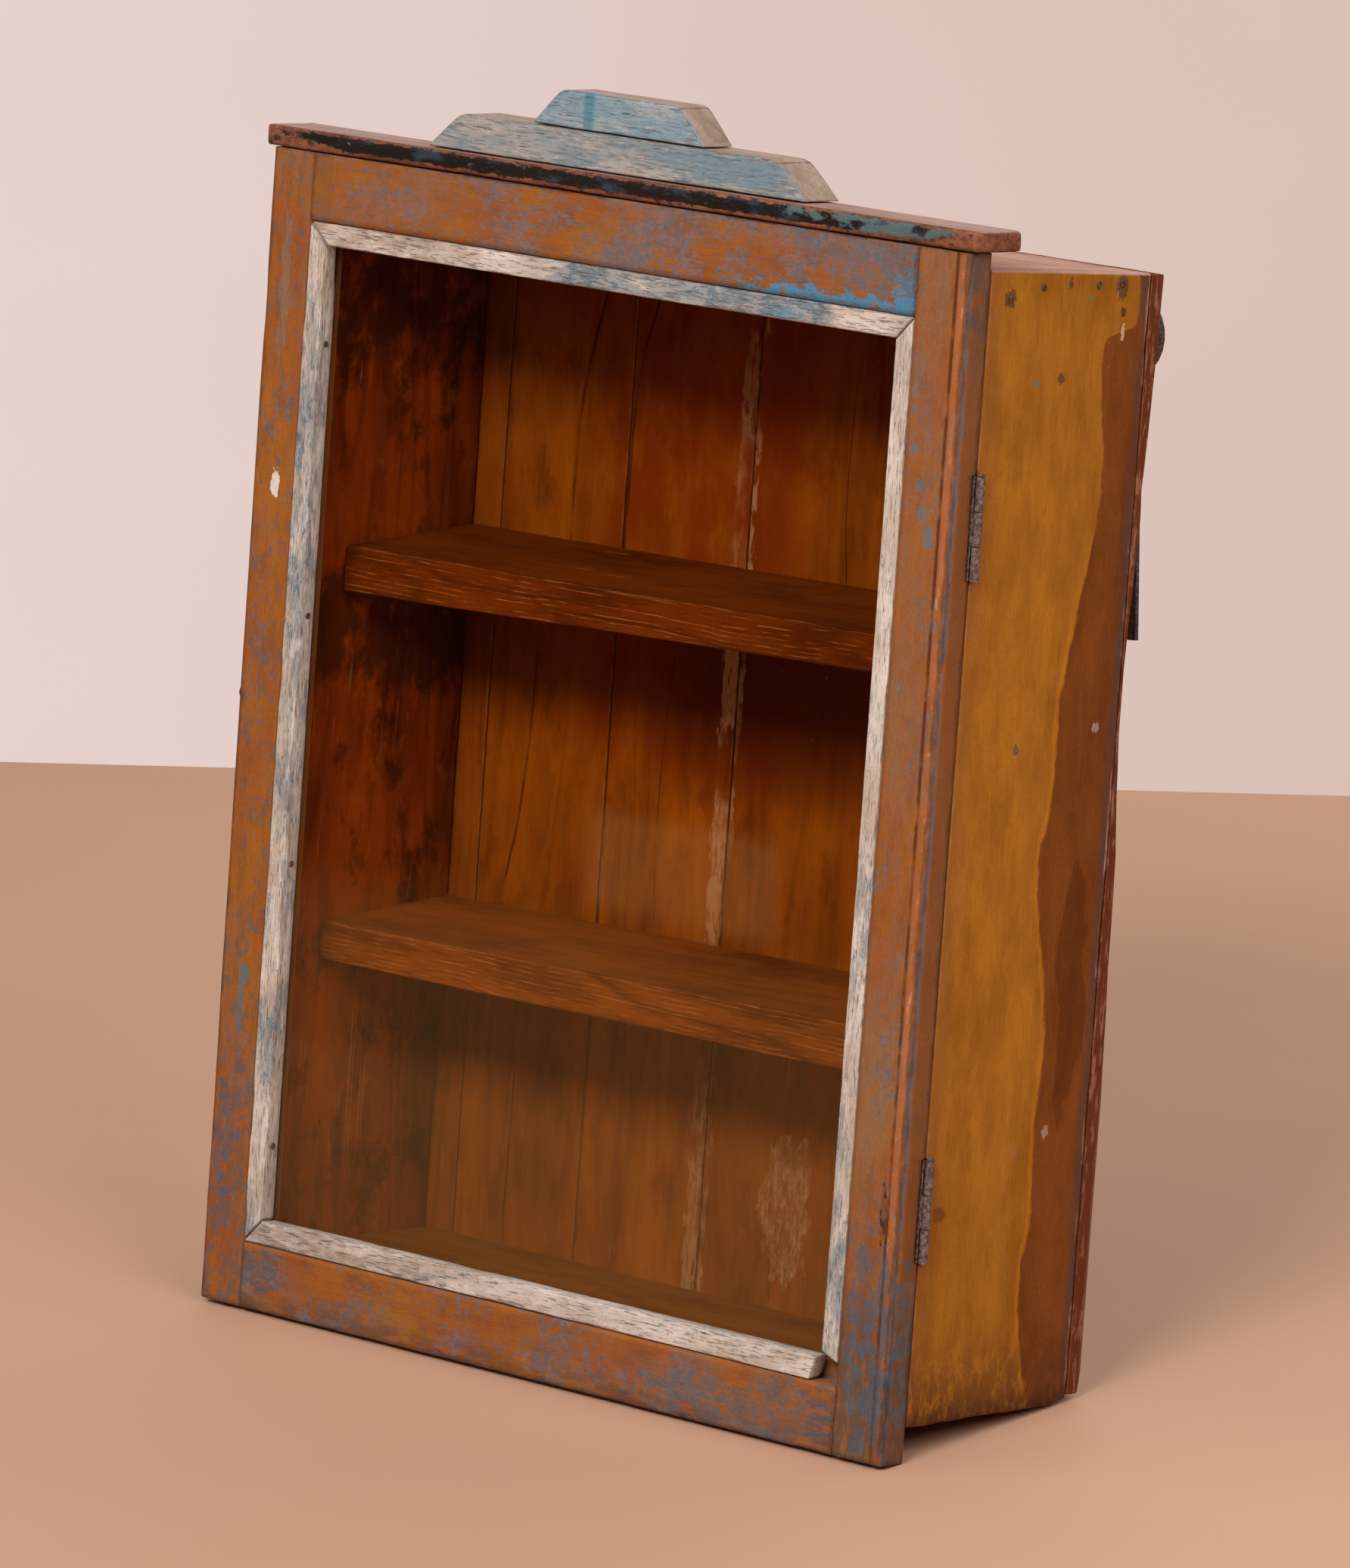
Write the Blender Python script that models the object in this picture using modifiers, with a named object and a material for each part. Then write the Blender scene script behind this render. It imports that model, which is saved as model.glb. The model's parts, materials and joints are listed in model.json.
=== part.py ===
"""Small glazed wall cabinet: a carcass with two shelves, closed by one glazed door with a stepped pediment.

Metres, +X to the right seen from the front, +Y into the cabinet, +Z up. The door hangs 12 mm lower than
the carcass, so the cabinet stands on the door's lower edge. The origin lies on that level, under the middle
of the bounding box.
"""
import math

import bmesh
import bpy
from mathutils import Matrix, Vector

# Clearances
GAP = 0.0003                    # between pieces that rest on each other
PLANK_GAP = 0.0006              # open joints between the back planks

# Door
DOOR_W = 0.350
DOOR_H = 0.445
DOOR_T = 0.0125
STILE_LEFT_W = 0.0205
STILE_RIGHT_W = 0.024
RAIL_H = 0.0255                 # top and bottom rail
LIP_T = 0.003                   # the rebate's lip, behind the glass
LIP_W = 0.007
GROOVE_IN = 0.0056              # run bead along the right stile's outer edge
GROOVE_W = 0.0014
GROOVE_D = 0.0012
TENON_T = 0.005
TENON_L = 0.014
TENON_SHOULDER = 0.004
GLASS_T = 0.0018
GLASS_PLAY = 0.002
BEAD_W = {"left": 0.0095, "right": 0.0087, "top": 0.0090, "bottom": 0.0098}

# Cornice board and pediment blocks, fixed to the door's top
CORNICE_T = 0.0080
CORNICE_D = 0.0255
CORNICE_FRONT = 0.0010          # stands this far in front of the door
CORNICE_LEFT = 0.0048           # overhang past the door's sides
CORNICE_RIGHT = 0.0035
CORNICE_ROUND = 0.0022
PEDIMENT_SHIFT = -0.005         # both blocks sit a little to the left of the middle
LOWER_BLOCK = {
    "bottom": 0.190, "top": 0.1625, "height": 0.0140, "front": 0.0045, "depth": 0.0198, "round": 0.0045}
UPPER_BLOCK = {
    "bottom": 0.0865, "top": 0.0605, "height": 0.0140, "front": 0.0050, "depth": 0.0170, "round": 0.0035}

# Carcass
DOOR_TO_CARCASS = 0.0006
SIDE_T = 0.0204
SIDE_D = 0.0896
CARCASS_BOTTOM = 0.0125         # above the door's lower edge
HEEL_RISE = 0.002               # the sides' rear bottom corners are worn off
HEEL_RUN = 0.008
CARCASS_TOP_FRONT = 0.4390      # the top slopes down a little to the back
CARCASS_TOP_REAR = 0.4355
TOP_T = 0.0140
FLOOR_T = 0.0100
SHELF_SETBACK = 0.0179          # from the carcass's front edge
PLANK_T = 0.0075
PLANK_BOTTOM = 0.0165
PLANK_TOP = 0.4350
PLANK_JOINTS = (0.034, 0.098, 0.162, 0.256)      # from the cabinet's left side

# Shelves: height of the front edge's top at the left side, then how the hand-fitted board runs out of level
UPPER_SHELF = {"z": 0.2937, "left_t": 0.0181, "right_t": 0.0135, "rise_right": 0.0038, "rise_back": 0.0056}
LOWER_SHELF = {"z": 0.1482, "left_t": 0.0150, "right_t": 0.0182, "rise_right": 0.0046, "rise_back": 0.0058}

# Butt hinges on the right
HINGE_LENGTH = 0.038
HINGE_CENTRES = {"upper": 0.3450, "lower": 0.0941}
KNUCKLE_R = 0.0017
KNUCKLE_OUT = 0.0021            # hinge axis, outside the door's right side
KNUCKLE_GAP = 0.0004            # along the pin, between knuckles
NOTCH_PLAY = 0.0004             # between a leaf and the other leaf's knuckles
PIN_R = 0.0007
PIN_HOLE_R = 0.0008
PIN_CAP_R = 0.0013
PIN_CAP_T = 0.0008
LEAF_T = 0.0010
LEAF_W = 0.0150
LEAF_SUNK = 0.0001              # leaf surface below the wood's surface
LEAF_BITE = 0.0011              # how near the pin's axis the plate reaches inside a knuckle
HINGE_SCREW_OFFSET = 0.0125     # above and below the hinge's middle
HINGE_SCREW_IN = 0.0085         # inwards from the door's side
HINGE_SCREW = {"head_r": 0.0021, "head_t": 0.0005, "shank_r": 0.0009, "length": 0.0065}
HINGE_SCREW_SUNK = 0.00055      # under the head, below the wood's surface

# Hangers on the back
HANGER_EYE_R = 0.0160
HANGER_EYE_T = 0.0040
HANGER_HOLE_R = 0.0035
HANGER_EYE_IN = 0.0175          # eye's centre, inwards from the cabinet's side
HANGER_EYE_Z = 0.4105
HANGER_TAIL_Z = 0.2980
HANGER_STRAP_W = 0.0140
HANGER_STRAP_T = 0.0018
HANGER_SLANT = math.radians(4.0)
HANGER_LIFT = math.radians(0.8)  # the tail stands off the back
HANGER_SCREWS_Z = (0.380, 0.345)
HANGER_SCREW = {"head_r": 0.0030, "head_t": 0.0008, "shank_r": 0.0011, "length": 0.0060}

# Catch on the left side: a flat hook that drops over a pin on the door's edge
HOOK_PIVOT_Y = 0.0130           # behind the carcass's front edge
HOOK_Z = 0.235
HOOK_T = 0.0016
HOOK_OFF = 0.0012               # from the cabinet's side
HOOK_EYE_R = 0.0045
HOOK_EYE_HOLE_R = 0.0016
HOOK_ARM_W = 0.0050
HOOK_END_R = 0.0048
HOOK_NOTCH_HALF = 0.0019
PIVOT_SCREW = {"head_r": 0.0036, "head_t": 0.0016, "shank_r": 0.0015, "length": 0.0120}
CATCH_PIN = {"head_r": 0.0027, "head_t": 0.0012, "shank_r": 0.0012, "length": 0.0100}

# Nails
BEAD_NAILS_Z = (0.373, 0.269, 0.1735, 0.064)
BEAD_NAIL = {"head_r": 0.0012, "head_t": 0.0004, "shank_r": 0.0005, "length": 0.0070}
SIDE_NAILS = ((0.0113, 0.4279), (0.0292, 0.4318), (0.0603, 0.4318), (0.0735, 0.4320))   # back and height
SIDE_NAIL = {"head_r": 0.0014, "head_t": 0.0004, "shank_r": 0.0007, "length": 0.0160}

# Places worked out from the sizes
LEFT = -(DOOR_W + KNUCKLE_OUT + KNUCKLE_R - CORNICE_LEFT) / 2
RIGHT = LEFT + DOOR_W
MIDDLE = (LEFT + RIGHT) / 2
CARCASS_DEPTH = SIDE_D + GAP + PLANK_T
DEPTH_OVERALL = CORNICE_FRONT + DOOR_T + DOOR_TO_CARCASS + CARCASS_DEPTH + GAP + HANGER_EYE_T
DOOR_FRONT = -DEPTH_OVERALL / 2 + CORNICE_FRONT
DOOR_BACK = DOOR_FRONT + DOOR_T
CARCASS_FRONT = DOOR_BACK + DOOR_TO_CARCASS
SIDE_BACK = CARCASS_FRONT + SIDE_D
PLANK_FRONT = SIDE_BACK + GAP
PLANK_BACK = PLANK_FRONT + PLANK_T
OPENING_LEFT = LEFT + STILE_LEFT_W
OPENING_RIGHT = RIGHT - STILE_RIGHT_W
OPENING_BOTTOM = RAIL_H
OPENING_TOP = DOOR_H - RAIL_H
LIP_FRONT = DOOR_BACK - LIP_T
GLASS_BACK = LIP_FRONT - GAP
BEAD_BACK = GLASS_BACK - GLASS_T - GAP
HINGE_X = RIGHT + KNUCKLE_OUT
HINGE_Y = (DOOR_BACK + CARCASS_FRONT) / 2

# Round pieces
SIDES_ROUND = 24                # facets of pins and knuckles
SIDES_SMALL = 12                # facets of nails, screws and their holes
SHARP_ANGLE = math.radians(35)
WELD = 1e-6
KNUCKLES = 3
HEAD_FLAT = 0.7                 # flat middle of a nail's or screw's head, as a share of its radius
HEAD_RIM = 0.4                  # straight rim, as a share of the head's thickness
SHANK_STRAIGHT = 0.85           # the rest of the shank tapers to the point
SHANK_PLAY = 0.0001             # between a shank and its hole
DRILL_START = 0.001             # holes are cut from this far in front of the surface
NAIL_PROUD = 0.0001             # nail heads stand off the wood


# Scene, materials and collections

for old in list(bpy.data.objects):
    bpy.data.objects.remove(old, do_unlink=True)

CABINET = bpy.data.collections.new("glazed_wall_cabinet")
CUTTERS = bpy.data.collections.new("cutters")
for group in (CABINET, CUTTERS):
    bpy.context.scene.collection.children.link(group)


# Finish: colour, roughness, metallic, alpha
DOOR_PAINT = ((0.38, 0.14, 0.04), 0.55, 0.0, 1.0)
SIDE_PAINT = ((0.34, 0.15, 0.03), 0.55, 0.0, 1.0)
BEAD_PAINT = ((0.66, 0.58, 0.46), 0.60, 0.0, 1.0)
CORNICE_PAINT = ((0.04, 0.05, 0.07), 0.55, 0.0, 1.0)
SKY_PAINT = ((0.28, 0.38, 0.44), 0.60, 0.0, 1.0)
GREY_PAINT = ((0.38, 0.38, 0.34), 0.65, 0.0, 1.0)
BARE_WOOD = ((0.17, 0.06, 0.025), 0.60, 0.0, 1.0)
GLASS = ((0.90, 0.93, 0.92), 0.05, 0.0, 0.3)
IRON = ((0.09, 0.045, 0.03), 0.70, 0.6, 1.0)


def make_material(name, finish):
    colour, roughness, metallic, alpha = finish
    mat = bpy.data.materials.new(name)
    mat.use_nodes = True
    shader = mat.node_tree.nodes["Principled BSDF"]
    shader.inputs["Base Color"].default_value = (*colour, 1.0)
    shader.inputs["Roughness"].default_value = roughness
    shader.inputs["Metallic"].default_value = metallic
    shader.inputs["Alpha"].default_value = alpha
    mat.diffuse_color = (*colour, alpha)
    return mat


# Modelling helpers

def add_object(name, data, finish=None):
    """A piece of the cabinet with its own material, or without a finish a cutter."""
    obj = bpy.data.objects.new(name, data)
    if finish is None:
        CUTTERS.objects.link(obj)
    else:
        data.materials.append(make_material(name, finish))
        CABINET.objects.link(obj)
    return obj


def shade_round(mesh):
    mesh.shade_smooth()
    mesh.set_sharp_from_angle(angle=SHARP_ANGLE)


def box(name, low, high, finish=None):
    """A box primitive between two corners, with its origin in its middle."""
    low, high = Vector(low), Vector(high)
    mesh = bpy.data.meshes.new(name)
    bm = bmesh.new()
    bmesh.ops.create_cube(bm, size=1.0)
    bmesh.ops.scale(bm, vec=high - low, verts=bm.verts)
    bm.to_mesh(mesh)
    bm.free()
    obj = add_object(name, mesh, finish)
    obj.location = (low + high) / 2
    return obj


# The world directions of an outline's across, up and thickness, for each axis it is extruded along
OUTLINE_AXES = {
    "X": Matrix(((0, 0, 1), (1, 0, 0), (0, 1, 0))),
    "Y": Matrix(((1, 0, 0), (0, 0, -1), (0, 1, 0))),
    "Z": Matrix(((1, 0, 0), (0, 1, 0), (0, 0, 1))),
}


def plate(name, outlines, axis, low, high, finish):
    """A flat outline, with any holes after it, extruded from low to high along a world axis."""
    curve = bpy.data.curves.new(name, "CURVE")
    curve.dimensions = "2D"
    curve.fill_mode = "BOTH"
    curve.extrude = (high - low) / 2
    for outline in outlines:
        spline = curve.splines.new("POLY")
        spline.points.add(len(outline) - 1)
        for point, (across, up) in zip(spline.points, outline):
            point.co = (across, up, 0.0, 1.0)
        spline.use_cyclic_u = True
    obj = add_object(name, curve, finish)
    middle = Vector([(high + low) / 2 if letter == axis else 0.0 for letter in "XYZ"])
    obj.matrix_world = Matrix.Translation(middle) @ OUTLINE_AXES[axis].to_4x4()
    return obj


def as_mesh(curve_object):
    """The same piece as a mesh with welded caps, which can be cut and joined."""
    bpy.context.view_layer.update()
    evaluated = curve_object.evaluated_get(bpy.context.evaluated_depsgraph_get())
    mesh = bpy.data.meshes.new_from_object(evaluated)
    bm = bmesh.new()
    bm.from_mesh(mesh)
    bmesh.ops.remove_doubles(bm, verts=bm.verts, dist=WELD)
    bm.to_mesh(mesh)
    bm.free()
    name, matrix = curve_object.name, curve_object.matrix_world.copy()
    bpy.data.objects.remove(curve_object, do_unlink=True)
    obj = bpy.data.objects.new(name, mesh)
    CABINET.objects.link(obj)
    obj.matrix_world = matrix
    return obj


# Turns a primitive's local Z to a world direction
FACING = {
    "+X": Matrix.Rotation(math.radians(90), 4, "Y"),
    "-X": Matrix.Rotation(math.radians(-90), 4, "Y"),
    "+Y": Matrix.Rotation(math.radians(-90), 4, "X"),
    "-Y": Matrix.Rotation(math.radians(90), 4, "X"),
    "+Z": Matrix.Identity(4),
}


def cylinder(name, place, facing, radius, low, high, sides, finish=None):
    """A cylinder primitive whose axis runs through place, from low to high along the facing direction."""
    mesh = bpy.data.meshes.new(name)
    bm = bmesh.new()
    bmesh.ops.create_cone(
        bm, cap_ends=True, segments=sides, radius1=radius, radius2=radius, depth=high - low,
        matrix=Matrix.Translation((0, 0, (low + high) / 2)))
    bm.to_mesh(mesh)
    bm.free()
    shade_round(mesh)
    obj = add_object(name, mesh, finish)
    obj.matrix_world = Matrix.Translation(place) @ FACING[facing]
    return obj


def combine(target, other, operation):
    other.hide_render = True
    other.display_type = "WIRE"
    modifier = target.modifiers.new(f"{operation.lower()}_{other.name}", "BOOLEAN")
    modifier.operation = operation
    modifier.object = other


def cut(target, cutter):
    combine(target, cutter, "DIFFERENCE")


def join(target, other):
    combine(target, other, "UNION")


def fastener(name, place, facing, size):
    """A nail or screw: a turned profile whose head stands on the surface at place and faces outwards."""
    head_r, head_t, shank_r, length = (size[key] for key in ("head_r", "head_t", "shank_r", "length"))
    profile = [
        (0.0, head_t), (head_r * HEAD_FLAT, head_t), (head_r, head_t * HEAD_RIM), (head_r, 0.0),
        (shank_r, 0.0), (shank_r, -length * SHANK_STRAIGHT), (0.0, -length)]
    mesh = bpy.data.meshes.new(name)
    bm = bmesh.new()
    points = [bm.verts.new((radius, 0.0, height)) for radius, height in profile]
    for first, second in zip(points, points[1:]):
        bm.edges.new((first, second))
    bm.to_mesh(mesh)
    bm.free()
    obj = add_object(name, mesh, IRON)
    screw = obj.modifiers.new("turn", "SCREW")
    screw.steps = SIDES_SMALL
    screw.render_steps = SIDES_SMALL
    screw.use_merge_vertices = True
    screw.merge_threshold = WELD
    obj.matrix_world = Matrix.Translation(place) @ FACING[facing]
    return obj


def drill(target, label, place, facing, radius, depth):
    """A round hole from in front of the surface at place to a depth behind it."""
    cut(target, cylinder(f"hole_{label}", place, facing, radius, -depth, DRILL_START, SIDES_SMALL))


def drill_for(target, label, place, facing, size):
    """The hole that a fastener's shank goes into."""
    drill(target, label, place, facing, size["shank_r"] + SHANK_PLAY, size["length"] + GAP)


def rounded(points, radius, corners, steps=4):
    """The outline with the numbered corners replaced by arcs."""
    result = []
    for index, point in enumerate(points):
        here = Vector(point)
        if index not in corners:
            result.append(tuple(here))
            continue
        before = (Vector(points[index - 1]) - here).normalized()
        after = (Vector(points[(index + 1) % len(points)]) - here).normalized()
        half = before.angle(after) / 2
        centre = here + (before + after).normalized() * radius / math.sin(half)
        start = here + before * radius / math.tan(half) - centre
        end = here + after * radius / math.tan(half) - centre
        sweep = start.angle_signed(end)
        for step in range(steps + 1):
            turn = Matrix.Rotation(-sweep * step / steps, 2)
            result.append(tuple(centre + turn @ start))
    return result


# Door frame

def make_stiles():
    """Two uprights with a rebate for the glass, which run the whole height of the door."""
    left_profile = [
        (LEFT, DOOR_FRONT), (OPENING_LEFT, DOOR_FRONT), (OPENING_LEFT, LIP_FRONT),
        (OPENING_LEFT + LIP_W, LIP_FRONT), (OPENING_LEFT + LIP_W, DOOR_BACK), (LEFT, DOOR_BACK)]
    groove = RIGHT - GROOVE_IN
    right_profile = [
        (OPENING_RIGHT, DOOR_FRONT), (groove - GROOVE_W / 2, DOOR_FRONT), (groove, DOOR_FRONT + GROOVE_D),
        (groove + GROOVE_W / 2, DOOR_FRONT), (RIGHT, DOOR_FRONT), (RIGHT, DOOR_BACK),
        (OPENING_RIGHT - LIP_W, DOOR_BACK), (OPENING_RIGHT - LIP_W, LIP_FRONT), (OPENING_RIGHT, LIP_FRONT)]
    left = as_mesh(plate("stile_left", [left_profile], "Z", 0.0, DOOR_H, DOOR_PAINT))
    right = as_mesh(plate("stile_right", [right_profile], "Z", 0.0, DOOR_H, DOOR_PAINT))
    return left, right


def tenon_block(name, end_x, direction, low_z, grow=0.0):
    """The tenon at one end of a rail, or with grow the mortise that it goes into."""
    near = end_x - direction * TENON_SHOULDER
    far = end_x + direction * (TENON_L + grow)
    front = DOOR_FRONT + TENON_SHOULDER
    return box(
        name, (min(near, far), front - grow, low_z + TENON_SHOULDER - grow),
        (max(near, far), front + TENON_T + grow, low_z + RAIL_H - TENON_SHOULDER + grow))


def make_rail(name, low_z, towards_opening):
    """A rail rebated on the opening's side, notched at its ends over the stiles' lips, with two tenons."""
    inner = low_z + RAIL_H if towards_opening > 0 else low_z
    outer = low_z if towards_opening > 0 else low_z + RAIL_H
    lip = inner + towards_opening * LIP_W
    profile = [
        (DOOR_FRONT, outer), (DOOR_BACK, outer), (DOOR_BACK, lip), (LIP_FRONT, lip), (LIP_FRONT, inner),
        (DOOR_FRONT, inner)]
    rail = as_mesh(plate(name, [profile], "X", OPENING_LEFT + GAP, OPENING_RIGHT - GAP, DOOR_PAINT))
    low, high = sorted((outer - towards_opening * GAP, lip + towards_opening * GAP))
    for side, end_x, direction in (("left", OPENING_LEFT, -1), ("right", OPENING_RIGHT, 1)):
        near, far = sorted((end_x - direction * (LIP_W + GAP), end_x))
        cut(rail, box(f"{name}_notch_{side}", (near, LIP_FRONT - GAP, low), (far, DOOR_BACK + GAP, high)))
        join(rail, tenon_block(f"{name}_tenon_{side}", end_x, direction, low_z))


def make_beads():
    """Four mitred beads that hold the glass. At the bottom right both ends are broken off short."""
    inner_left = OPENING_LEFT + BEAD_W["left"]
    inner_right = OPENING_RIGHT - BEAD_W["right"]
    inner_bottom = OPENING_BOTTOM + BEAD_W["bottom"]
    inner_top = OPENING_TOP - BEAD_W["top"]
    outer_left, outer_right = OPENING_LEFT + GAP, OPENING_RIGHT - GAP
    outer_bottom, outer_top = OPENING_BOTTOM + GAP, OPENING_TOP - GAP
    outlines = {
        "left": [(outer_left, outer_bottom + GAP), (inner_left, inner_bottom + GAP),
                 (inner_left, inner_top - GAP), (outer_left, outer_top - GAP)],
        "top": [(outer_left + GAP, outer_top), (inner_left + GAP, inner_top),
                (inner_right - GAP, inner_top), (outer_right - GAP, outer_top)],
        "right": [(outer_right, outer_top - GAP), (inner_right, inner_top - GAP),
                  (inner_right, inner_bottom + 0.0022), (inner_right + 0.0030, inner_bottom - 0.0020),
                  (inner_right + 0.0050, inner_bottom - 0.0034), (outer_right, inner_bottom - 0.0012)],
        "bottom": [(outer_left + GAP, outer_bottom), (inner_right - 0.0050, outer_bottom),
                   (inner_right - 0.0016, outer_bottom + 0.0030),
                   (inner_right - 0.0004, outer_bottom + 0.0062), (inner_right - 0.0022, inner_bottom),
                   (inner_left + GAP, inner_bottom)],
    }
    return {
        side: as_mesh(plate(f"bead_{side}", [outline], "Y", DOOR_FRONT, BEAD_BACK, BEAD_PAINT))
        for side, outline in outlines.items()}


def make_glass():
    box("glass_pane", (OPENING_LEFT + GLASS_PLAY, GLASS_BACK - GLASS_T, OPENING_BOTTOM + GLASS_PLAY),
        (OPENING_RIGHT - GLASS_PLAY, GLASS_BACK, OPENING_TOP - GLASS_PLAY), GLASS)


def make_door():
    stile_left, stile_right = make_stiles()
    for rail, low_z, towards_opening in (("rail_bottom", 0.0, 1), ("rail_top", DOOR_H - RAIL_H, -1)):
        make_rail(rail, low_z, towards_opening)
        cut(stile_left, tenon_block(f"{rail}_mortise_left", OPENING_LEFT, -1, low_z, GAP))
        cut(stile_right, tenon_block(f"{rail}_mortise_right", OPENING_RIGHT, 1, low_z, GAP))
    beads = make_beads()
    make_glass()
    for number, z in enumerate(BEAD_NAILS_Z, start=1):
        name = f"bead_nail_{number}"
        place = (OPENING_LEFT + BEAD_W["left"] + NAIL_PROUD, (DOOR_FRONT + BEAD_BACK) / 2, z)
        fastener(name, place, "+X", BEAD_NAIL)
        drill_for(beads["left"], name, place, "+X", BEAD_NAIL)
    return stile_left, stile_right


# Cornice and pediment

def make_cornice():
    front, base = DOOR_FRONT - CORNICE_FRONT, DOOR_H + GAP
    cornice = box("cornice_board", (LEFT - CORNICE_LEFT, front, base),
                  (RIGHT + CORNICE_RIGHT, front + CORNICE_D, base + CORNICE_T), CORNICE_PAINT)
    soft = cornice.modifiers.new("worn_edges", "BEVEL")
    soft.width = CORNICE_ROUND
    soft.segments = 3


def make_pediment_block(name, size, base_z, mat):
    """A block with sloping ends and softened upper corners."""
    bottom, top = size["bottom"] / 2, size["top"] / 2
    high = base_z + size["height"]
    middle = MIDDLE + PEDIMENT_SHIFT
    outline = [
        (middle - bottom, base_z), (middle + bottom, base_z), (middle + top, high),
        (middle - top, high)]
    front = DOOR_FRONT + size["front"]
    plate(name, [rounded(outline, size["round"], (2, 3))], "Y", front, front + size["depth"], mat)


def make_pediment():
    lower_z = DOOR_H + 2 * GAP + CORNICE_T
    make_pediment_block("pediment_lower", LOWER_BLOCK, lower_z, GREY_PAINT)
    make_pediment_block("pediment_upper", UPPER_BLOCK, lower_z + LOWER_BLOCK["height"] + GAP, SKY_PAINT)


# Carcass

def make_sides():
    outline = [
        (CARCASS_FRONT, CARCASS_BOTTOM), (SIDE_BACK - HEEL_RUN, CARCASS_BOTTOM),
        (SIDE_BACK, CARCASS_BOTTOM + HEEL_RISE), (SIDE_BACK, CARCASS_TOP_REAR),
        (CARCASS_FRONT, CARCASS_TOP_FRONT)]
    left = as_mesh(plate("side_left", [outline], "X", LEFT, LEFT + SIDE_T, SIDE_PAINT))
    right = as_mesh(plate("side_right", [outline], "X", RIGHT - SIDE_T, RIGHT, SIDE_PAINT))
    return left, right


def make_ends():
    """The top and floor boards, nailed between the sides."""
    low_x, high_x = LEFT + SIDE_T + GAP, RIGHT - SIDE_T - GAP
    top_outline = [
        (CARCASS_FRONT, CARCASS_TOP_FRONT - TOP_T), (SIDE_BACK, CARCASS_TOP_REAR - TOP_T),
        (SIDE_BACK, CARCASS_TOP_REAR), (CARCASS_FRONT, CARCASS_TOP_FRONT)]
    plate("top_board", [top_outline], "X", low_x, high_x, BARE_WOOD)
    box("floor_board", (low_x, CARCASS_FRONT, CARCASS_BOTTOM), (high_x, SIDE_BACK, CARCASS_BOTTOM + FLOOR_T),
        BARE_WOOD)


def make_shelf(name, size):
    """A hand-fitted board: it rises to the back and to the right, and its thickness runs out."""
    low_x, high_x = LEFT + SIDE_T + GAP, RIGHT - SIDE_T - GAP
    front, back = CARCASS_FRONT + SHELF_SETBACK, SIDE_BACK - GAP
    shelf = box(name, (low_x, front, -size["left_t"] / 2), (high_x, back, size["left_t"] / 2), BARE_WOOD)
    shelf.location.z = size["z"]
    for vertex in shelf.data.vertices:
        across = vertex.co.x / (high_x - low_x) + 0.5
        deep = vertex.co.y / (back - front) + 0.5
        thickness = size["left_t"] + (size["right_t"] - size["left_t"]) * across
        rise = size["rise_right"] * across + size["rise_back"] * deep
        vertex.co.z = rise if vertex.co.z > 0 else rise - thickness


def make_planks():
    """Vertical back planks, nailed over the rear edges of the sides and boards."""
    lefts = [LEFT, *(LEFT + joint + PLANK_GAP / 2 for joint in PLANK_JOINTS)]
    rights = [*(LEFT + joint - PLANK_GAP / 2 for joint in PLANK_JOINTS), RIGHT]
    return [
        box(f"back_plank_{number}", (left, PLANK_FRONT, PLANK_BOTTOM), (right, PLANK_BACK, PLANK_TOP),
            BARE_WOOD)
        for number, (left, right) in enumerate(zip(lefts, rights), start=1)]


def make_carcass():
    side_left, side_right = make_sides()
    make_ends()
    make_shelf("shelf_upper", UPPER_SHELF)
    make_shelf("shelf_lower", LOWER_SHELF)
    planks = make_planks()
    for number, (back, z) in enumerate(SIDE_NAILS, start=1):
        name = f"side_nail_{number}"
        place = (RIGHT + NAIL_PROUD, CARCASS_FRONT + back, z)
        fastener(name, place, "+X", SIDE_NAIL)
        drill_for(side_right, name, place, "+X", SIDE_NAIL)
    return side_left, side_right, planks


# Hinges

def make_leaf(name, surface, inwards, own_knuckles, base_z):
    """A hinge leaf: a let-in plate joined to its share of the three knuckles, and bored for the pin."""
    near = surface + inwards * LEAF_SUNK
    far = near + inwards * LEAF_T
    axis = (HINGE_X, HINGE_Y, base_z)
    leaf = box(name, (RIGHT - LEAF_W, min(near, far), base_z),
               (HINGE_X - LEAF_BITE, max(near, far), base_z + HINGE_LENGTH), IRON)
    for index in range(KNUCKLES):
        low = index * HINGE_LENGTH / KNUCKLES
        high = (index + 1) * HINGE_LENGTH / KNUCKLES
        if index in own_knuckles:
            low += KNUCKLE_GAP / 2 if index > 0 else 0.0
            high -= KNUCKLE_GAP / 2 if index < KNUCKLES - 1 else 0.0
            join(leaf, cylinder(f"{name}_knuckle_{index}", axis, "+Z", KNUCKLE_R, low, high, SIDES_ROUND))
        else:
            low -= KNUCKLE_GAP / 2
            high += KNUCKLE_GAP / 2
            notch_r = KNUCKLE_R + NOTCH_PLAY
            cut(leaf, cylinder(f"{name}_notch_{index}", axis, "+Z", notch_r, low, high, SIDES_ROUND))
    cut(leaf, cylinder(f"{name}_bore", axis, "+Z", PIN_HOLE_R, -GAP, HINGE_LENGTH + GAP, SIDES_ROUND))
    return leaf


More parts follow.
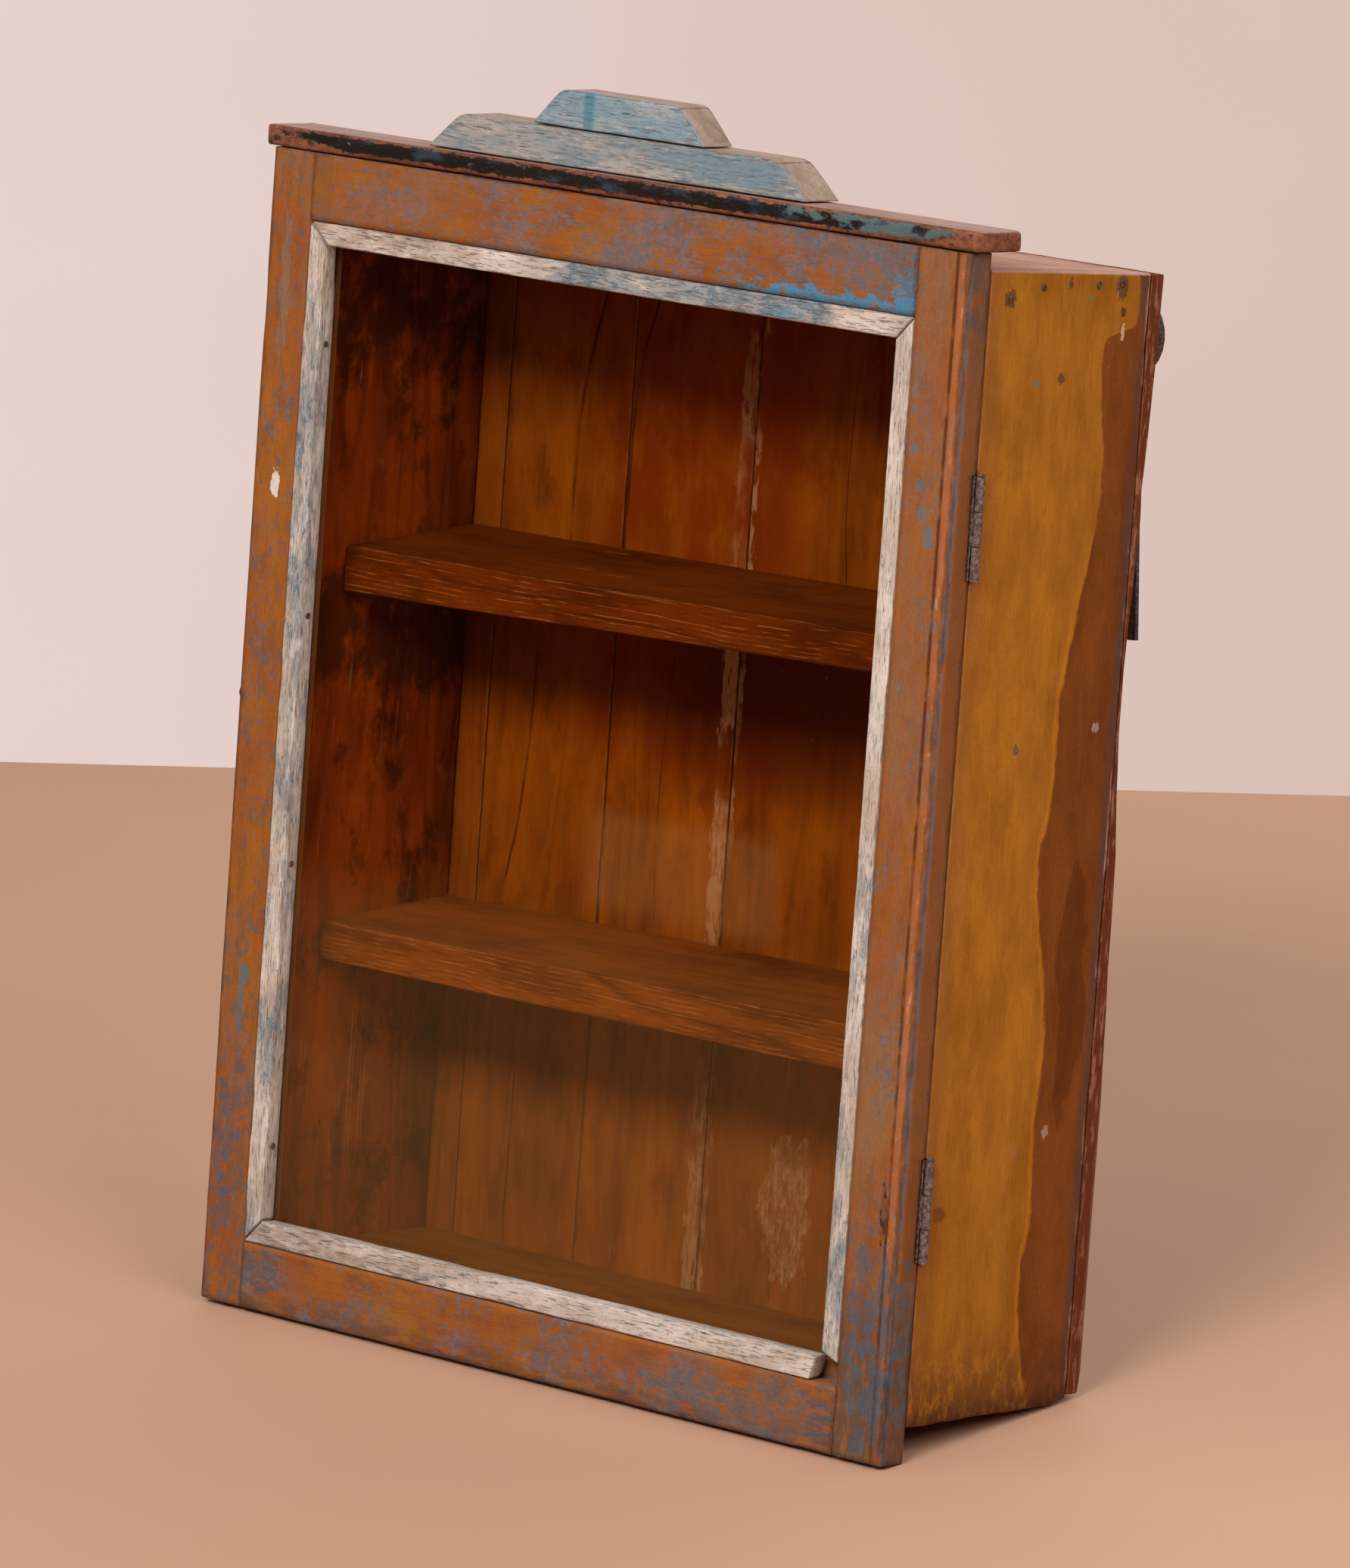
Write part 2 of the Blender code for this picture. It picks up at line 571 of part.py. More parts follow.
def make_hinge(position, stile_right, side_right):
    centre_z = HINGE_CENTRES[position]
    base_z = centre_z - HINGE_LENGTH / 2
    for owner, surface, inwards, wood, facing, own_knuckles in (
            ("door", DOOR_BACK, -1, stile_right, "+Y", (1,)),
            ("carcass", CARCASS_FRONT, 1, side_right, "-Y", (0, 2))):
        name = f"hinge_{position}_{owner}_leaf"
        leaf = make_leaf(name, surface, inwards, own_knuckles, base_z)
        mouth = surface - inwards * GAP
        floor = surface + inwards * (LEAF_SUNK + LEAF_T + GAP)
        cut(wood, box(f"{name}_recess", (RIGHT - LEAF_W - GAP, min(mouth, floor), base_z - GAP),
                      (RIGHT + GAP, max(mouth, floor), base_z + HINGE_LENGTH + GAP)))
        for number, offset in enumerate((-HINGE_SCREW_OFFSET, HINGE_SCREW_OFFSET), start=1):
            screw = f"hinge_{position}_{owner}_screw_{number}"
            place = (RIGHT - HINGE_SCREW_IN, surface + inwards * HINGE_SCREW_SUNK, centre_z + offset)
            fastener(screw, place, facing, HINGE_SCREW)
            drill(leaf, f"{screw}_seat", place, facing, HINGE_SCREW["head_r"] + GAP, GAP)
            drill_for(leaf, f"{screw}_leaf", place, facing, HINGE_SCREW)
            drill_for(wood, f"{screw}_wood", place, facing, HINGE_SCREW)
    axis = (HINGE_X, HINGE_Y, base_z)
    low, high = HINGE_LENGTH + GAP, HINGE_LENGTH + GAP + PIN_CAP_T
    pin = cylinder(f"hinge_{position}_pin", axis, "+Z", PIN_R, 0.0, (low + high) / 2, SIDES_ROUND, IRON)
    join(pin, cylinder(f"hinge_{position}_pin_cap", axis, "+Z", PIN_CAP_R, low, high, SIDES_ROUND))


# Hangers

def make_hanger(side, outwards, plank):
    """An iron strap with a thick round eye, screwed to the back, its tail bent away from the wood."""
    eye_x = MIDDLE + outwards * (DOOR_W / 2 - HANGER_EYE_IN)
    rear = PLANK_BACK + GAP
    eye = (eye_x, rear, HANGER_EYE_Z)
    name = f"hanger_{side}"
    hanger = cylinder(name, eye, "+Y", HANGER_EYE_R, 0.0, HANGER_EYE_T, SIDES_ROUND, IRON)
    half_w = HANGER_STRAP_W / 2
    strap = box(f"{name}_strap", (-half_w, 0.0, HANGER_TAIL_Z - HANGER_EYE_Z), (half_w, HANGER_STRAP_T, 0.0))
    lean = Matrix.Rotation(-outwards * HANGER_SLANT, 4, "Y") @ Matrix.Rotation(HANGER_LIFT, 4, "X")
    strap.matrix_world = Matrix.Translation(eye) @ lean @ Matrix.Translation(strap.location)
    join(hanger, strap)
    cut(hanger, cylinder(f"{name}_hole", eye, "+Y", HANGER_HOLE_R, -GAP, HANGER_EYE_T + GAP, SIDES_ROUND))
    for number, z in enumerate(HANGER_SCREWS_Z, start=1):
        screw = f"{name}_screw_{number}"
        below = HANGER_EYE_Z - z
        head_y = rear + HANGER_STRAP_T + below * math.tan(HANGER_LIFT) + GAP
        place = (eye_x + outwards * below * math.tan(HANGER_SLANT), head_y, z)
        fastener(screw, place, "+Y", HANGER_SCREW)
        drill_for(hanger, f"{screw}_strap", place, "+Y", HANGER_SCREW)
        drill_for(plank, f"{screw}_wood", place, "+Y", HANGER_SCREW)


# Catch

def arc(radius, first, last, step):
    """Points on a circle round (0, 0), at angles in degrees."""
    angles = [math.radians(angle) for angle in range(first, last + 1, step)]
    return [(radius * math.cos(angle), radius * math.sin(angle)) for angle in angles]


def hook_outline(reach):
    """Seen from the right, from the pivot: an eye, an arm that hangs down, and a notch open to the back."""
    half, end, notch = HOOK_ARM_W / 2, HOOK_END_R, HOOK_NOTCH_HALF
    hanging = [
        (-half, -reach + end * 0.8), (-half, -reach - end * 0.2), (-half * 0.6, -reach - end * 0.8),
        (half * 0.4, -reach - end), (end * 0.8, -reach - end * 0.85), (end, -reach - notch),
        (0.0, -reach - notch), (-notch * 0.55, -reach), (0.0, -reach + notch), (half + 0.001, -reach + notch),
        (half, -reach + end)]
    return arc(HOOK_EYE_R, -40, 220, 20) + hanging


def make_catch(stile_left, side_left):
    pivot_y = CARCASS_FRONT + HOOK_PIVOT_Y
    pin_y = (DOOR_FRONT + DOOR_BACK) / 2
    outer_x = LEFT - HOOK_OFF - HOOK_T
    outlines = [hook_outline(pivot_y - pin_y), arc(HOOK_EYE_HOLE_R, 0, 345, 15)]
    hook = plate("latch_hook", outlines, "X", -HOOK_T / 2, HOOK_T / 2, IRON)
    hook.location = (outer_x + HOOK_T / 2, pivot_y, HOOK_Z)
    for name, y, size, wood in (
            ("latch_pivot_screw", pivot_y, PIVOT_SCREW, side_left),
            ("latch_pin", pin_y, CATCH_PIN, stile_left)):
        place = (outer_x - GAP, y, HOOK_Z)
        fastener(name, place, "-X", size)
        drill_for(wood, name, place, "-X", size)


# The pieces that turn with the door hang from an empty on the hinges' axis

DOOR_PIECES = (
    "stile_", "rail_", "bead_", "glass_pane", "cornice_board", "pediment_", "latch_pin", "hinge_upper_door_",
    "hinge_lower_door_")


def hang_door():
    pivot = bpy.data.objects.new("door_pivot", None)
    CABINET.objects.link(pivot)
    pivot.location = (HINGE_X, HINGE_Y, 0.0)
    bpy.context.view_layer.update()
    for obj in (*CABINET.objects, *CUTTERS.objects):
        if obj.name.startswith(DOOR_PIECES):
            obj.parent = pivot
            obj.matrix_parent_inverse = pivot.matrix_world.inverted()


def main():
    stile_left, stile_right = make_door()
    make_cornice()
    make_pediment()
    side_left, side_right, planks = make_carcass()
    for position in HINGE_CENTRES:
        make_hinge(position, stile_right, side_right)
    make_hanger("left", -1, planks[0])
    make_hanger("right", 1, planks[-1])
    make_catch(stile_left, side_left)
    hang_door()


main()
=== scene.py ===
"""The looks of a small old glazed wall cabinet: worn paint, aged wood, old glass and rusty iron.

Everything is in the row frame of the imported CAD, in metres, and Finish works in millimetres. Each wooden
board is a dense mesh with worn edges, made inside the box of the CAD node that it replaces. Colours are
written as sRGB triples from 0 to 255.
"""

import json
import math

import bpy
import numpy as np
from mathutils import Matrix, Vector


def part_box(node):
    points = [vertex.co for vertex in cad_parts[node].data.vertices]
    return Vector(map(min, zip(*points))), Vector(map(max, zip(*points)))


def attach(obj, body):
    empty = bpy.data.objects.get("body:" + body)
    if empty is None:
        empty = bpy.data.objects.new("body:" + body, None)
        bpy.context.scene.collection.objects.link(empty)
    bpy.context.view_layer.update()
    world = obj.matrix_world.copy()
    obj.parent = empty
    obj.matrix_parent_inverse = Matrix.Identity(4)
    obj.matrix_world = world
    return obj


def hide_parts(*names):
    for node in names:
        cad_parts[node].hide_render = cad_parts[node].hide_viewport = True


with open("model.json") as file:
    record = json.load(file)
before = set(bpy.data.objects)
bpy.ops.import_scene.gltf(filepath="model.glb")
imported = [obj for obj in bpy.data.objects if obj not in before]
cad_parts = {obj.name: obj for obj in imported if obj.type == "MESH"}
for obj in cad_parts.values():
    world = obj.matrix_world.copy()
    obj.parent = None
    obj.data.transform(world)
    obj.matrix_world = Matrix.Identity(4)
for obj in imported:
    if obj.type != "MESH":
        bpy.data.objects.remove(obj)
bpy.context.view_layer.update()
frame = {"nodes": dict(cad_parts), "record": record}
NODES = frame["nodes"]
BODY_OF = {
    node: body for body, members in frame["record"]["behaviour"]["bodies"].items() for node in members}
MM = 0.001
X, Y, Z = 0, 1, 2
GAP = 0.3 * MM                  # between touching pieces of the frame

# Places on the cabinet that several pieces share, read from the frame
DOOR_LOW, DOOR_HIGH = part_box("stile_left")[0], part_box("stile_right")[1]
LEFT, RIGHT = DOOR_LOW.x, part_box("side_right")[1].x
DOOR_FRONT, DOOR_BACK = DOOR_LOW.y, DOOR_HIGH.y
CARCASS_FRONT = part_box("side_left")[0].y
OPENING_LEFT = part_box("bead_left")[0].x - GAP
OPENING_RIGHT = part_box("bead_right")[1].x + GAP
OPENING_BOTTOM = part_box("bead_bottom")[0].z - GAP
OPENING_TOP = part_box("bead_top")[1].z + GAP
LIP_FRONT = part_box("glass_pane")[1].y + GAP
LIP_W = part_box("stile_left")[1].x - OPENING_LEFT


def srgb(red, green, blue):
    """A colour for a shader socket from sRGB values of 0 to 255."""
    parts = [value / 255 for value in (red, green, blue)]
    return (*[p / 12.92 if p <= 0.04045 else ((p + 0.055) / 1.055) ** 2.4 for p in parts], 1.0)


# ---- Mesh tools

def value_noise(points, size, seed=0):
    """Smooth noise from -1 to 1 at each point. The size of its features is one number, or three along
    the axes."""
    scaled = points / size + seed * 17.31
    cell = np.floor(scaled).astype(np.int64)
    part = scaled - cell
    part = part * part * (3 - 2 * part)
    total = np.zeros(len(points))
    for corner in range(8):
        step = np.array([(corner >> axis) & 1 for axis in range(3)])
        at = (cell + step) & 0xFFFFFF
        mixed = (at[:, 0] * 73856093) ^ (at[:, 1] * 19349663) ^ (at[:, 2] * 83492791)
        mixed = (mixed ^ (mixed >> 13)) * 1274126177 & 0xFFFFFFFF
        value = ((mixed ^ (mixed >> 16)) & 0xFFFF) / 32767.5 - 1
        total += value * np.prod(np.where(step, part, 1 - part), axis=1)
    return total


def smooth_step(value, low, high):
    share = np.clip((value - low) / (high - low), 0, 1)
    return share * share * (3 - 2 * share)


def mesh_lines(low, high, cell, edge, steps):
    """Where a board's mesh lines cross one axis: close together near both ends and at each step in its
    section."""
    near = np.array([0.0, 0.1, 0.25, 0.45, 0.7, 1.0, 1.5]) * edge
    near = near[near < (high - low) * 0.45]
    inner = np.linspace(low + near[-1], high - near[-1],
                        max(2, round((high - low - 2 * near[-1]) / cell)))[1:-1]
    sharp = [place + side * 0.04 * MM for place in steps for side in (-1, 1)]
    inner = inner[[all(abs(value - place) > 0.3
                       * MM for place in steps) for value in inner]] if steps else inner
    return np.array(sorted({*(low + near), *(high - near), *inner, *sharp}))


def lattice_box(lines):
    """The points and outward faces of a closed box whose mesh lines lie at the given places on each axis."""
    counts = [len(line) for line in lines]
    surface = np.zeros(counts, bool)
    for axis in range(3):
        for side in (0, -1):
            np.moveaxis(surface, axis, 0)[side] = True
    index = np.full(counts, -1)
    index[surface] = np.arange(surface.sum())
    points = np.stack(np.meshgrid(*lines, indexing="ij"), -1)[surface]
    faces = []
    for axis in range(3):
        for side in (0, -1):
            layer = np.take(index, side, axis)
            quads = np.stack([layer[:-1, :-1], layer[1:, :-1], layer[1:, 1:], layer[:-1, 1:]],
                             -1).reshape(-1, 4)
            outward = (side == -1) != (axis == 1)
            faces.append(quads if outward else quads[:, ::-1])
    return points, np.concatenate(faces)


def box_of(node):
    """The low and high corners of a node's box, as arrays."""
    return [np.array(corner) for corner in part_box(node)]


def corners_of(node):
    """The outermost point of a six-sided node towards each of its eight corners."""
    points = np.array([vertex.co for vertex in NODES[node].data.vertices])
    low, high = points.min(0), points.max(0)
    unit = (points - low) / (high - low) * 2 - 1
    signs = (-1, 1)
    return np.array([[[points[np.argmax(unit @ (a, b, c))] for c in signs] for b in signs] for a in signs])


def map_to_corners(points, low, high, corners):
    """Moves points of a straight box into a six-sided shape given by its eight corners."""
    share = (points - low) / (high - low)
    result = np.zeros_like(points)
    for a in (0, 1):
        for b in (0, 1):
            for c in (0, 1):
                weight = np.prod([share[:, i] if s else 1 - share[:, i] for i, s in enumerate((a, b, c))],
                                 axis=0)
                result += weight[:, None] * corners[a, b, c]
    return result


def mesh_object(name, points, faces, attributes=None):
    mesh = bpy.data.meshes.new(name)
    mesh.from_pydata(points.tolist(), [], faces.tolist())
    for key, values in (attributes or {}).items():
        mesh.attributes.new(key, "FLOAT", "POINT").data.foreach_set("value", values.astype(np.float32))
    mesh.shade_smooth()
    obj = bpy.data.objects.new(name, mesh)
    bpy.context.scene.collection.objects.link(obj)
    return obj


def board(node, material, worn=1.0, chips=0.0, rough=0.12, cell=2.2, seed=0, steps=None, shape=None,
          low=None, high=None, corners=None, flush_top=False):
    """A worn board in place of a CAD node.

    Sizes are in millimetres. worn is the usual radius of its edges and chips how much deeper they are broken
    in places. rough is how far its faces sink between high spots. steps lists, by axis, where shape makes a
    sharp step in its section, and shape moves the points once the edges are rounded. low and high override
    the node's box, and corners its corners.
    A board with flush_top has crisp upper edges, because another piece sits on it.
    """
    worn, chips, rough, cell = (value * MM for value in (worn, chips, rough, cell))
    box_low, box_high = box_of(node)
    low = box_low if low is None else np.array(low)
    high = box_high if high is None else np.array(high)
    widest = (worn + chips) * 1.1
    level = high[Z]
    if flush_top:
        high = high + np.array([0, 0, widest])
    lines = [mesh_lines(low[a], high[a], cell, widest, (steps or {}).get(a, ())) for a in range(3)]
    points, faces = lattice_box(lines)
    depths = np.sort(np.minimum(points - low, high - points), axis=1)
    edge = depths[:, 1]
    stretch = np.where(high - low == (high - low).max(), 4.0, 1.0)
    wear = value_noise(points, 9 * MM * stretch, seed) * 0.35 + value_noise(points, 3 * MM * stretch,
            seed + 1) * 0.15
    broken = smooth_step(value_noise(points, 6 * MM * stretch, seed + 2), 0.15, 0.6)
    radius = np.clip(worn * (1 + wear) + chips * broken, 0.05 * MM, widest)[:, None]
    centre = np.clip(points, low + radius, high - radius)
    away = points - centre
    length = np.linalg.norm(away, axis=1, keepdims=True)
    normal = away / np.maximum(length, 1e-9)
    points = centre + normal * np.minimum(length, radius)
    sunk = 0.5 + 0.3 * value_noise(points, 14 * MM * stretch, seed + 3) + 0.2 * value_noise(points,
            3 * MM * stretch, seed + 4)
    points = points - normal * (np.clip(sunk, 0, 1) * rough)[:, None]
    if flush_top:
        points[:, Z] = np.minimum(points[:, Z], level)
        high[Z] = level
    if shape is not None:
        points = shape(points)
    if corners is not None:
        points = map_to_corners(points, low, high, corners)
    obj = mesh_object(f"{node}_worn", points, faces, {"edge_mm": edge / MM})
    obj.data.materials.append(material)
    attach(obj, BODY_OF[node])
    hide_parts(node)


def round_corner(points, first, second, radius):
    """Rounds the corner between two faces. Each face is an axis, its place on it and the side it looks to."""
    (a, face_a, side_a), (b, face_b, side_b) = first, second
    out_a = np.clip(((points[:, a] - face_a) * side_a + radius) / radius, 0, 1)
    out_b = np.clip(((points[:, b] - face_b) * side_b + radius) / radius, 0, 1)
    both = (out_a > 0) & (out_b > 0)
    for axis, face, side, out, other in ((a, face_a, side_a, out_a, out_b),
            (b, face_b, side_b, out_b, out_a)):
        turned = face + side * radius * (out * np.sqrt(1 - other ** 2 / 2) - 1)
        points[:, axis] = np.where(both, turned, points[:, axis])
    return points


def squeeze(points, axis, fixed, face, level, where):
    """Where the mask says, moves the face at one end of an axis to a new level, with what lies between
    in proportion."""
    moved = fixed + (points[:, axis] - fixed) * (level - fixed) / (face - fixed)
    points = points.copy()
    points[:, axis] = np.where(where, moved, points[:, axis])
    return points


# ---- Material tools

def operator(operation, swapped=False):
    def method(self, other):
        return self.f.math(operation, *((other, self) if swapped else (self, other)))
    return method


class Value:
    """A number or a colour from a node, to use with +, - and *."""

    def __init__(self, f, socket):
        self.f, self.socket = f, socket

    def cover(self, mask, over):
        """Lays another colour over this one where the mask is high."""
        self.socket = self.f.mix(mask, Value(self.f, self.socket), over).socket

    __add__, __radd__ = operator("ADD"), operator("ADD", True)
    __sub__, __rsub__ = operator("SUBTRACT"), operator("SUBTRACT", True)
    __mul__, __rmul__ = operator("MULTIPLY"), operator("MULTIPLY", True)


class Finish:
    """One material: a Principled shader fed by small operations on places in the row frame.

    Places and sizes are in millimetres: x from the door's left edge, y from its front and z from the floor.
    """

    def __init__(self, name, seed=0, axis=None):
        self.axis = axis
        self.material = bpy.data.materials.new(name)
        self.material.use_nodes = True
        self.tree = self.material.node_tree
        self.tree.nodes.clear()
        self.seed = seed
        self.shader = self.add("BsdfPrincipled")
        self.output = self.add("OutputMaterial", {"Surface": self.shader.outputs[0]})
        self.place = self.take("TexCoord", output="Object")
        axes = self.add("SeparateXYZ", {0: self.place}).outputs
        self.x, self.y, self.z = (Value(self, axis) for axis in axes)
        self.edge = self.take("Attribute", output="Fac", attribute_name="edge_mm")

    def add(self, kind, inputs=None, **settings):
        node = self.tree.nodes.new(f"ShaderNode{kind}")
        for key, value in settings.items():
            setattr(node, key, value)
        for key, value in (inputs or {}).items():
            self.feed(node.inputs[key], value)
        return node

    def take(self, kind, inputs=None, output=0, **settings):
        return Value(self, self.add(kind, inputs, **settings).outputs[output])

    def feed(self, socket, value):
        """Links a value to a socket, or sets a constant. Three numbers for a colour are sRGB."""
        if isinstance(value, Value):
            value = value.socket
        if isinstance(value, bpy.types.NodeSocket):
            self.tree.links.new(value, socket)
        elif socket.type == "RGBA" and len(value) == 3:
            socket.default_value = srgb(*value)
        else:
            socket.default_value = value[:3] if socket.type == "VECTOR" else value

    def math(self, operation, a, b=0.0):
        return self.take("Math", {0: a, 1: b}, operation=operation)

    def either(self, *masks):
        result = masks[0]
        for mask in masks[1:]:
            result = self.math("MAXIMUM", result, mask)
        return result

    def band(self, value, low, high):
        """0 below low and 1 above high, with a smooth change between. With low above high it runs the
        other way."""
        inputs = {"Value": value, "From Min": low, "From Max": high, "To Min": 0.0, "To Max": 1.0}
        return self.take("MapRange", inputs, interpolation_type="SMOOTHSTEP")

    def across(self, low, high):
        return self.band(self.x, LEFT + low * MM, LEFT + high * MM)

    def behind(self, low, high):
        return self.band(self.y, DOOR_FRONT + low * MM, DOOR_FRONT + high * MM)

    def up(self, low, high):
        return self.band(self.z, low * MM, high * MM)

    def between(self, value, low, high, soft):
        return self.band(value, low - soft, low + soft) * self.band(value, high + soft, high - soft)

    def strip(self, low, high, soft):
        return self.between(self.x, LEFT + low * MM, LEFT + high * MM, soft * MM)

    def noise(self, size, stretch=1, detail=4, rough=0.7, bend=0, along=None):
        """Noise from 0 to 1 whose features have this size, stretched along the material's or another axis."""
        self.seed += 1
        scale = [1 / (size * MM)] * 3
        along = self.axis if along is None else along
        if along is not None:
            scale[along] /= stretch
        shift = [self.seed * 3.7 % 11, self.seed * 5.3 % 13, self.seed * 7.1 % 17]
        moved = self.take("Mapping", {"Vector": self.place, "Scale": scale, "Location": shift})
        inputs = {"Vector": moved, "Scale": 1.0, "Detail": detail, "Roughness": rough, "Distortion": bend}
        return self.take("TexNoise", inputs)

    def spread(self, low, high, *noise, **along):
        """A mask of the places where a noise is high."""
        return self.band(self.noise(*noise, **along), low, high)

    def mix(self, mask, under, over):
        return self.take("Mix", {0: mask, 6: under, 7: over}, output=2, data_type="RGBA")

    def shade(self, colour, amount):
        """A colour made lighter or darker by a factor from nodes."""
        grey = self.take("CombineXYZ", {0: amount, 1: amount, 2: amount})
        return self.take("VectorMath", {0: colour, 1: grey}, operation="MULTIPLY")

    def spot(self, centre, size, ragged=0.35, grain=3, stretch=1, along=None):
        """A patch with a ragged outline, about this far from its centre along each axis."""
        size = [value * MM for value in size]
        offset = self.take("VectorMath", {0: self.place, 1: row(*centre)}, operation="SUBTRACT")
        scaled = self.take("VectorMath", {0: offset, 1: size}, operation="DIVIDE")
        distance = self.take("VectorMath", {0: scaled}, "Value", operation="LENGTH")
        bumpy = self.noise(grain, stretch, 3, 0.6, along=along) - 0.5
        return self.band(distance + bumpy * (ragged * 4), 1.05, 0.9)

    def curve(self, value, points, value_span, result_span):
        """A smooth curve through (value, result) points, both given in millimetres, as a result in metres."""
        node = self.add("FloatCurve", {"Value": value * (1 / (value_span * MM))})
        handles = node.mapping.curves[0].points
        places = [(at / value_span, result / result_span) for at, result in points]
        handles[0].location, handles[-1].location = places[0], places[-1]
        for place in places[1:-1]:
            handles.new(*place)
        node.mapping.update()
        return Value(self, node.outputs[0]) * (result_span * MM)

    def finish(self, colour, roughness, height=None, depth=0.0, specular=0.5):
        """Sets the surface. The height, from 0 to 1, becomes bumps this deep in millimetres."""
        inputs = {"Base Color": colour, "Roughness": roughness, "Specular IOR Level": specular}
        if height is not None:
            bump = {"Height": height, "Distance": depth * MM, "Strength": 1.0}
            inputs["Normal"] = self.take("Bump", bump, "Normal")
        for key, value in inputs.items():
            self.feed(self.shader.inputs[key], value)
        return self.material


def row(door_x, door_y, door_z):
    """A place given in millimetres from the door's lower left front corner, as a point in the row frame."""
    return Vector((LEFT + door_x * MM, DOOR_FRONT + door_y * MM, door_z * MM))


def wood_grain(f, axis, fine=0.6, ring=5):
    """Masks from 0 to 1 for a board's fine fibres and for the darker lines of its growth rings."""
    fibres = f.noise(fine, 22, 3, 0.65, along=axis)
    field = f.noise(ring * 5, 7, 1.5, 0.5, 0.3, along=axis)
    wave = f.math("SINE", field * 46.0)
    rings = (wave + 1.0) * 0.5
    return (fibres, rings * rings)


def bare_wood(f, axis, light, dark, ring=5, lines=0.16):
    """Colour and height of bare wood: broad tone, growth rings, fibres and dark pores."""
    fibres, rings = wood_grain(f, axis, ring=ring)
    tone = f.noise(30, 3, 4, 0.6, along=axis)
    share = tone * 1.0 + (rings * lines + fibres * 0.3)
    colour = f.mix(f.band(share, 0.4, 1.15), light, dark)
    pores = f.spread(0.6, 0.72, 0.45, 26, 2, 0.55, along=axis)
    colour.cover(pores * 0.3, dark)
    return (mottle(f, colour, 0.16), fibres * 0.6 + rings * 0.4)


def mottle(f, colour, amount, size=0.9):
    """Uneven lightness at the scale of grains of dirt, and more gently at the scale of a fingertip."""
    fine = f.noise(size, 1, 3, 0.75) - 0.5
    broad = f.noise(11, 1, 3, 0.6) - 0.5
    return f.shade(colour, 1.0 + (fine * (amount * 3) + broad * (amount * 1.6)))


# ---- Materials of the door

ORANGE = (152, 92, 34)
ORANGE_RED = (146, 82, 40)
BROWN = (112, 70, 44)
GRIME = (52, 36, 28)
BLUE_GREY = (80, 99, 110)
WORN_GREY = (126, 102, 88)
SKY = (60, 134, 172)
TEAL = (70, 112, 120)
PINK_WOOD = (178, 124, 96)
CREAM = (190, 174, 158)
WHITE = (216, 204, 194)


def frame_paint(name, axis, seed, marks=None, fleck_bias=0.0, worn_bias=0.0):
    """Orange-brown paint over an older blue, rubbed thin in places, with grime along its edges."""
    f = Finish(name, seed, axis)
    fibres, _ = wood_grain(f, axis)
    tone = f.noise(16, 2.5, 4, 0.65)
    colour = f.mix(f.band(tone, 0.34, 0.66), ORANGE, ORANGE_RED)
    brown = f.spread(0.46, 0.74, 6, 3, 4, 0.65)
    colour.cover(brown * 0.6, BROWN)
    colour = f.shade(colour, 0.8 + fibres * 0.4)
    worn = f.band(f.noise(26, 2.2, 4, 0.65) + worn_bias, 0.5, 0.68) * f.spread(0.3, 0.62, 2.2, 4)
    colour.cover(worn * 0.55, WORN_GREY)
    clump = f.noise(17, 1.7, 3, 0.6) + fleck_bias
    small = f.noise(1.4, 2.8, 5)
    flecks = f.band(small + clump * 0.75, 0.92, 1.0)
    grey_blue = f.mix(f.spread(0.4, 0.6, 3, 1, 2, 0.55), BLUE_GREY, (116, 104, 106))
    colour.cover(flecks * 0.68, grey_blue)
    if marks is not None:
        colour = marks(f, colour)
    scuffs = f.spread(0.7, 0.76, 0.8, 14, 3)
    colour.cover(scuffs * 0.35, PINK_WOOD)
    pits = f.spread(0.7, 0.76, 1, 2, 2, 0.6)
    colour.cover(pits * 0.45, GRIME)
    rub = f.noise(3, 3) + f.edge * -0.3
    colour.cover(f.band(rub, 0.36, 0.5) * 0.55, PINK_WOOD)
    dirt = f.noise(6, 2.5, 4, 0.65) + f.edge * -0.16
    colour.cover(f.band(dirt, 0.1, 0.5) * 0.55, GRIME)
    colour = mottle(f, colour, 0.2)
    roughness = 0.42 + f.either(flecks, worn) * 0.2
    height = fibres * 0.4 + ((1 - flecks) * 0.35 + (1 - pits) * 0.4)
    return f.finish(colour, roughness, height, 0.14, 0.12)


def top_rail_marks(f, colour):
    """Bright blue left along the rail's lower edge at the right, and a stained end at the left."""
    blue = f.spot((288, 0, 420), (38, 20, 4), 0.9, 2.4, 2.5)
    corner = f.spot((321, 0, 425), (6, 20, 9), 0.9, 2.5)
    gaps = f.spread(0.62, 0.52, 1.5, 3, 5)
    colour.cover(f.either(blue, corner) * gaps * 0.88, SKY)
    calm = f.across(140, 60) * f.spread(0.3, 0.55, 5, 2, 4, 0.65)
    colour.cover(calm * 0.6, (148, 88, 38))
    stain = f.spot((25.5, 0, 432), (7, 20, 17), 0.3, 5)
    colour.cover(stain * 0.25, (96, 76, 58))
    grey = f.spot((308, 0, 436), (32, 20, 10), 0.8, 5, 2, along=Z)
    grey = grey * f.spread(0.34, 0.6, 1.6, 3, along=Z)
    return f.mix(grey * 0.75, colour, (94, 100, 106))


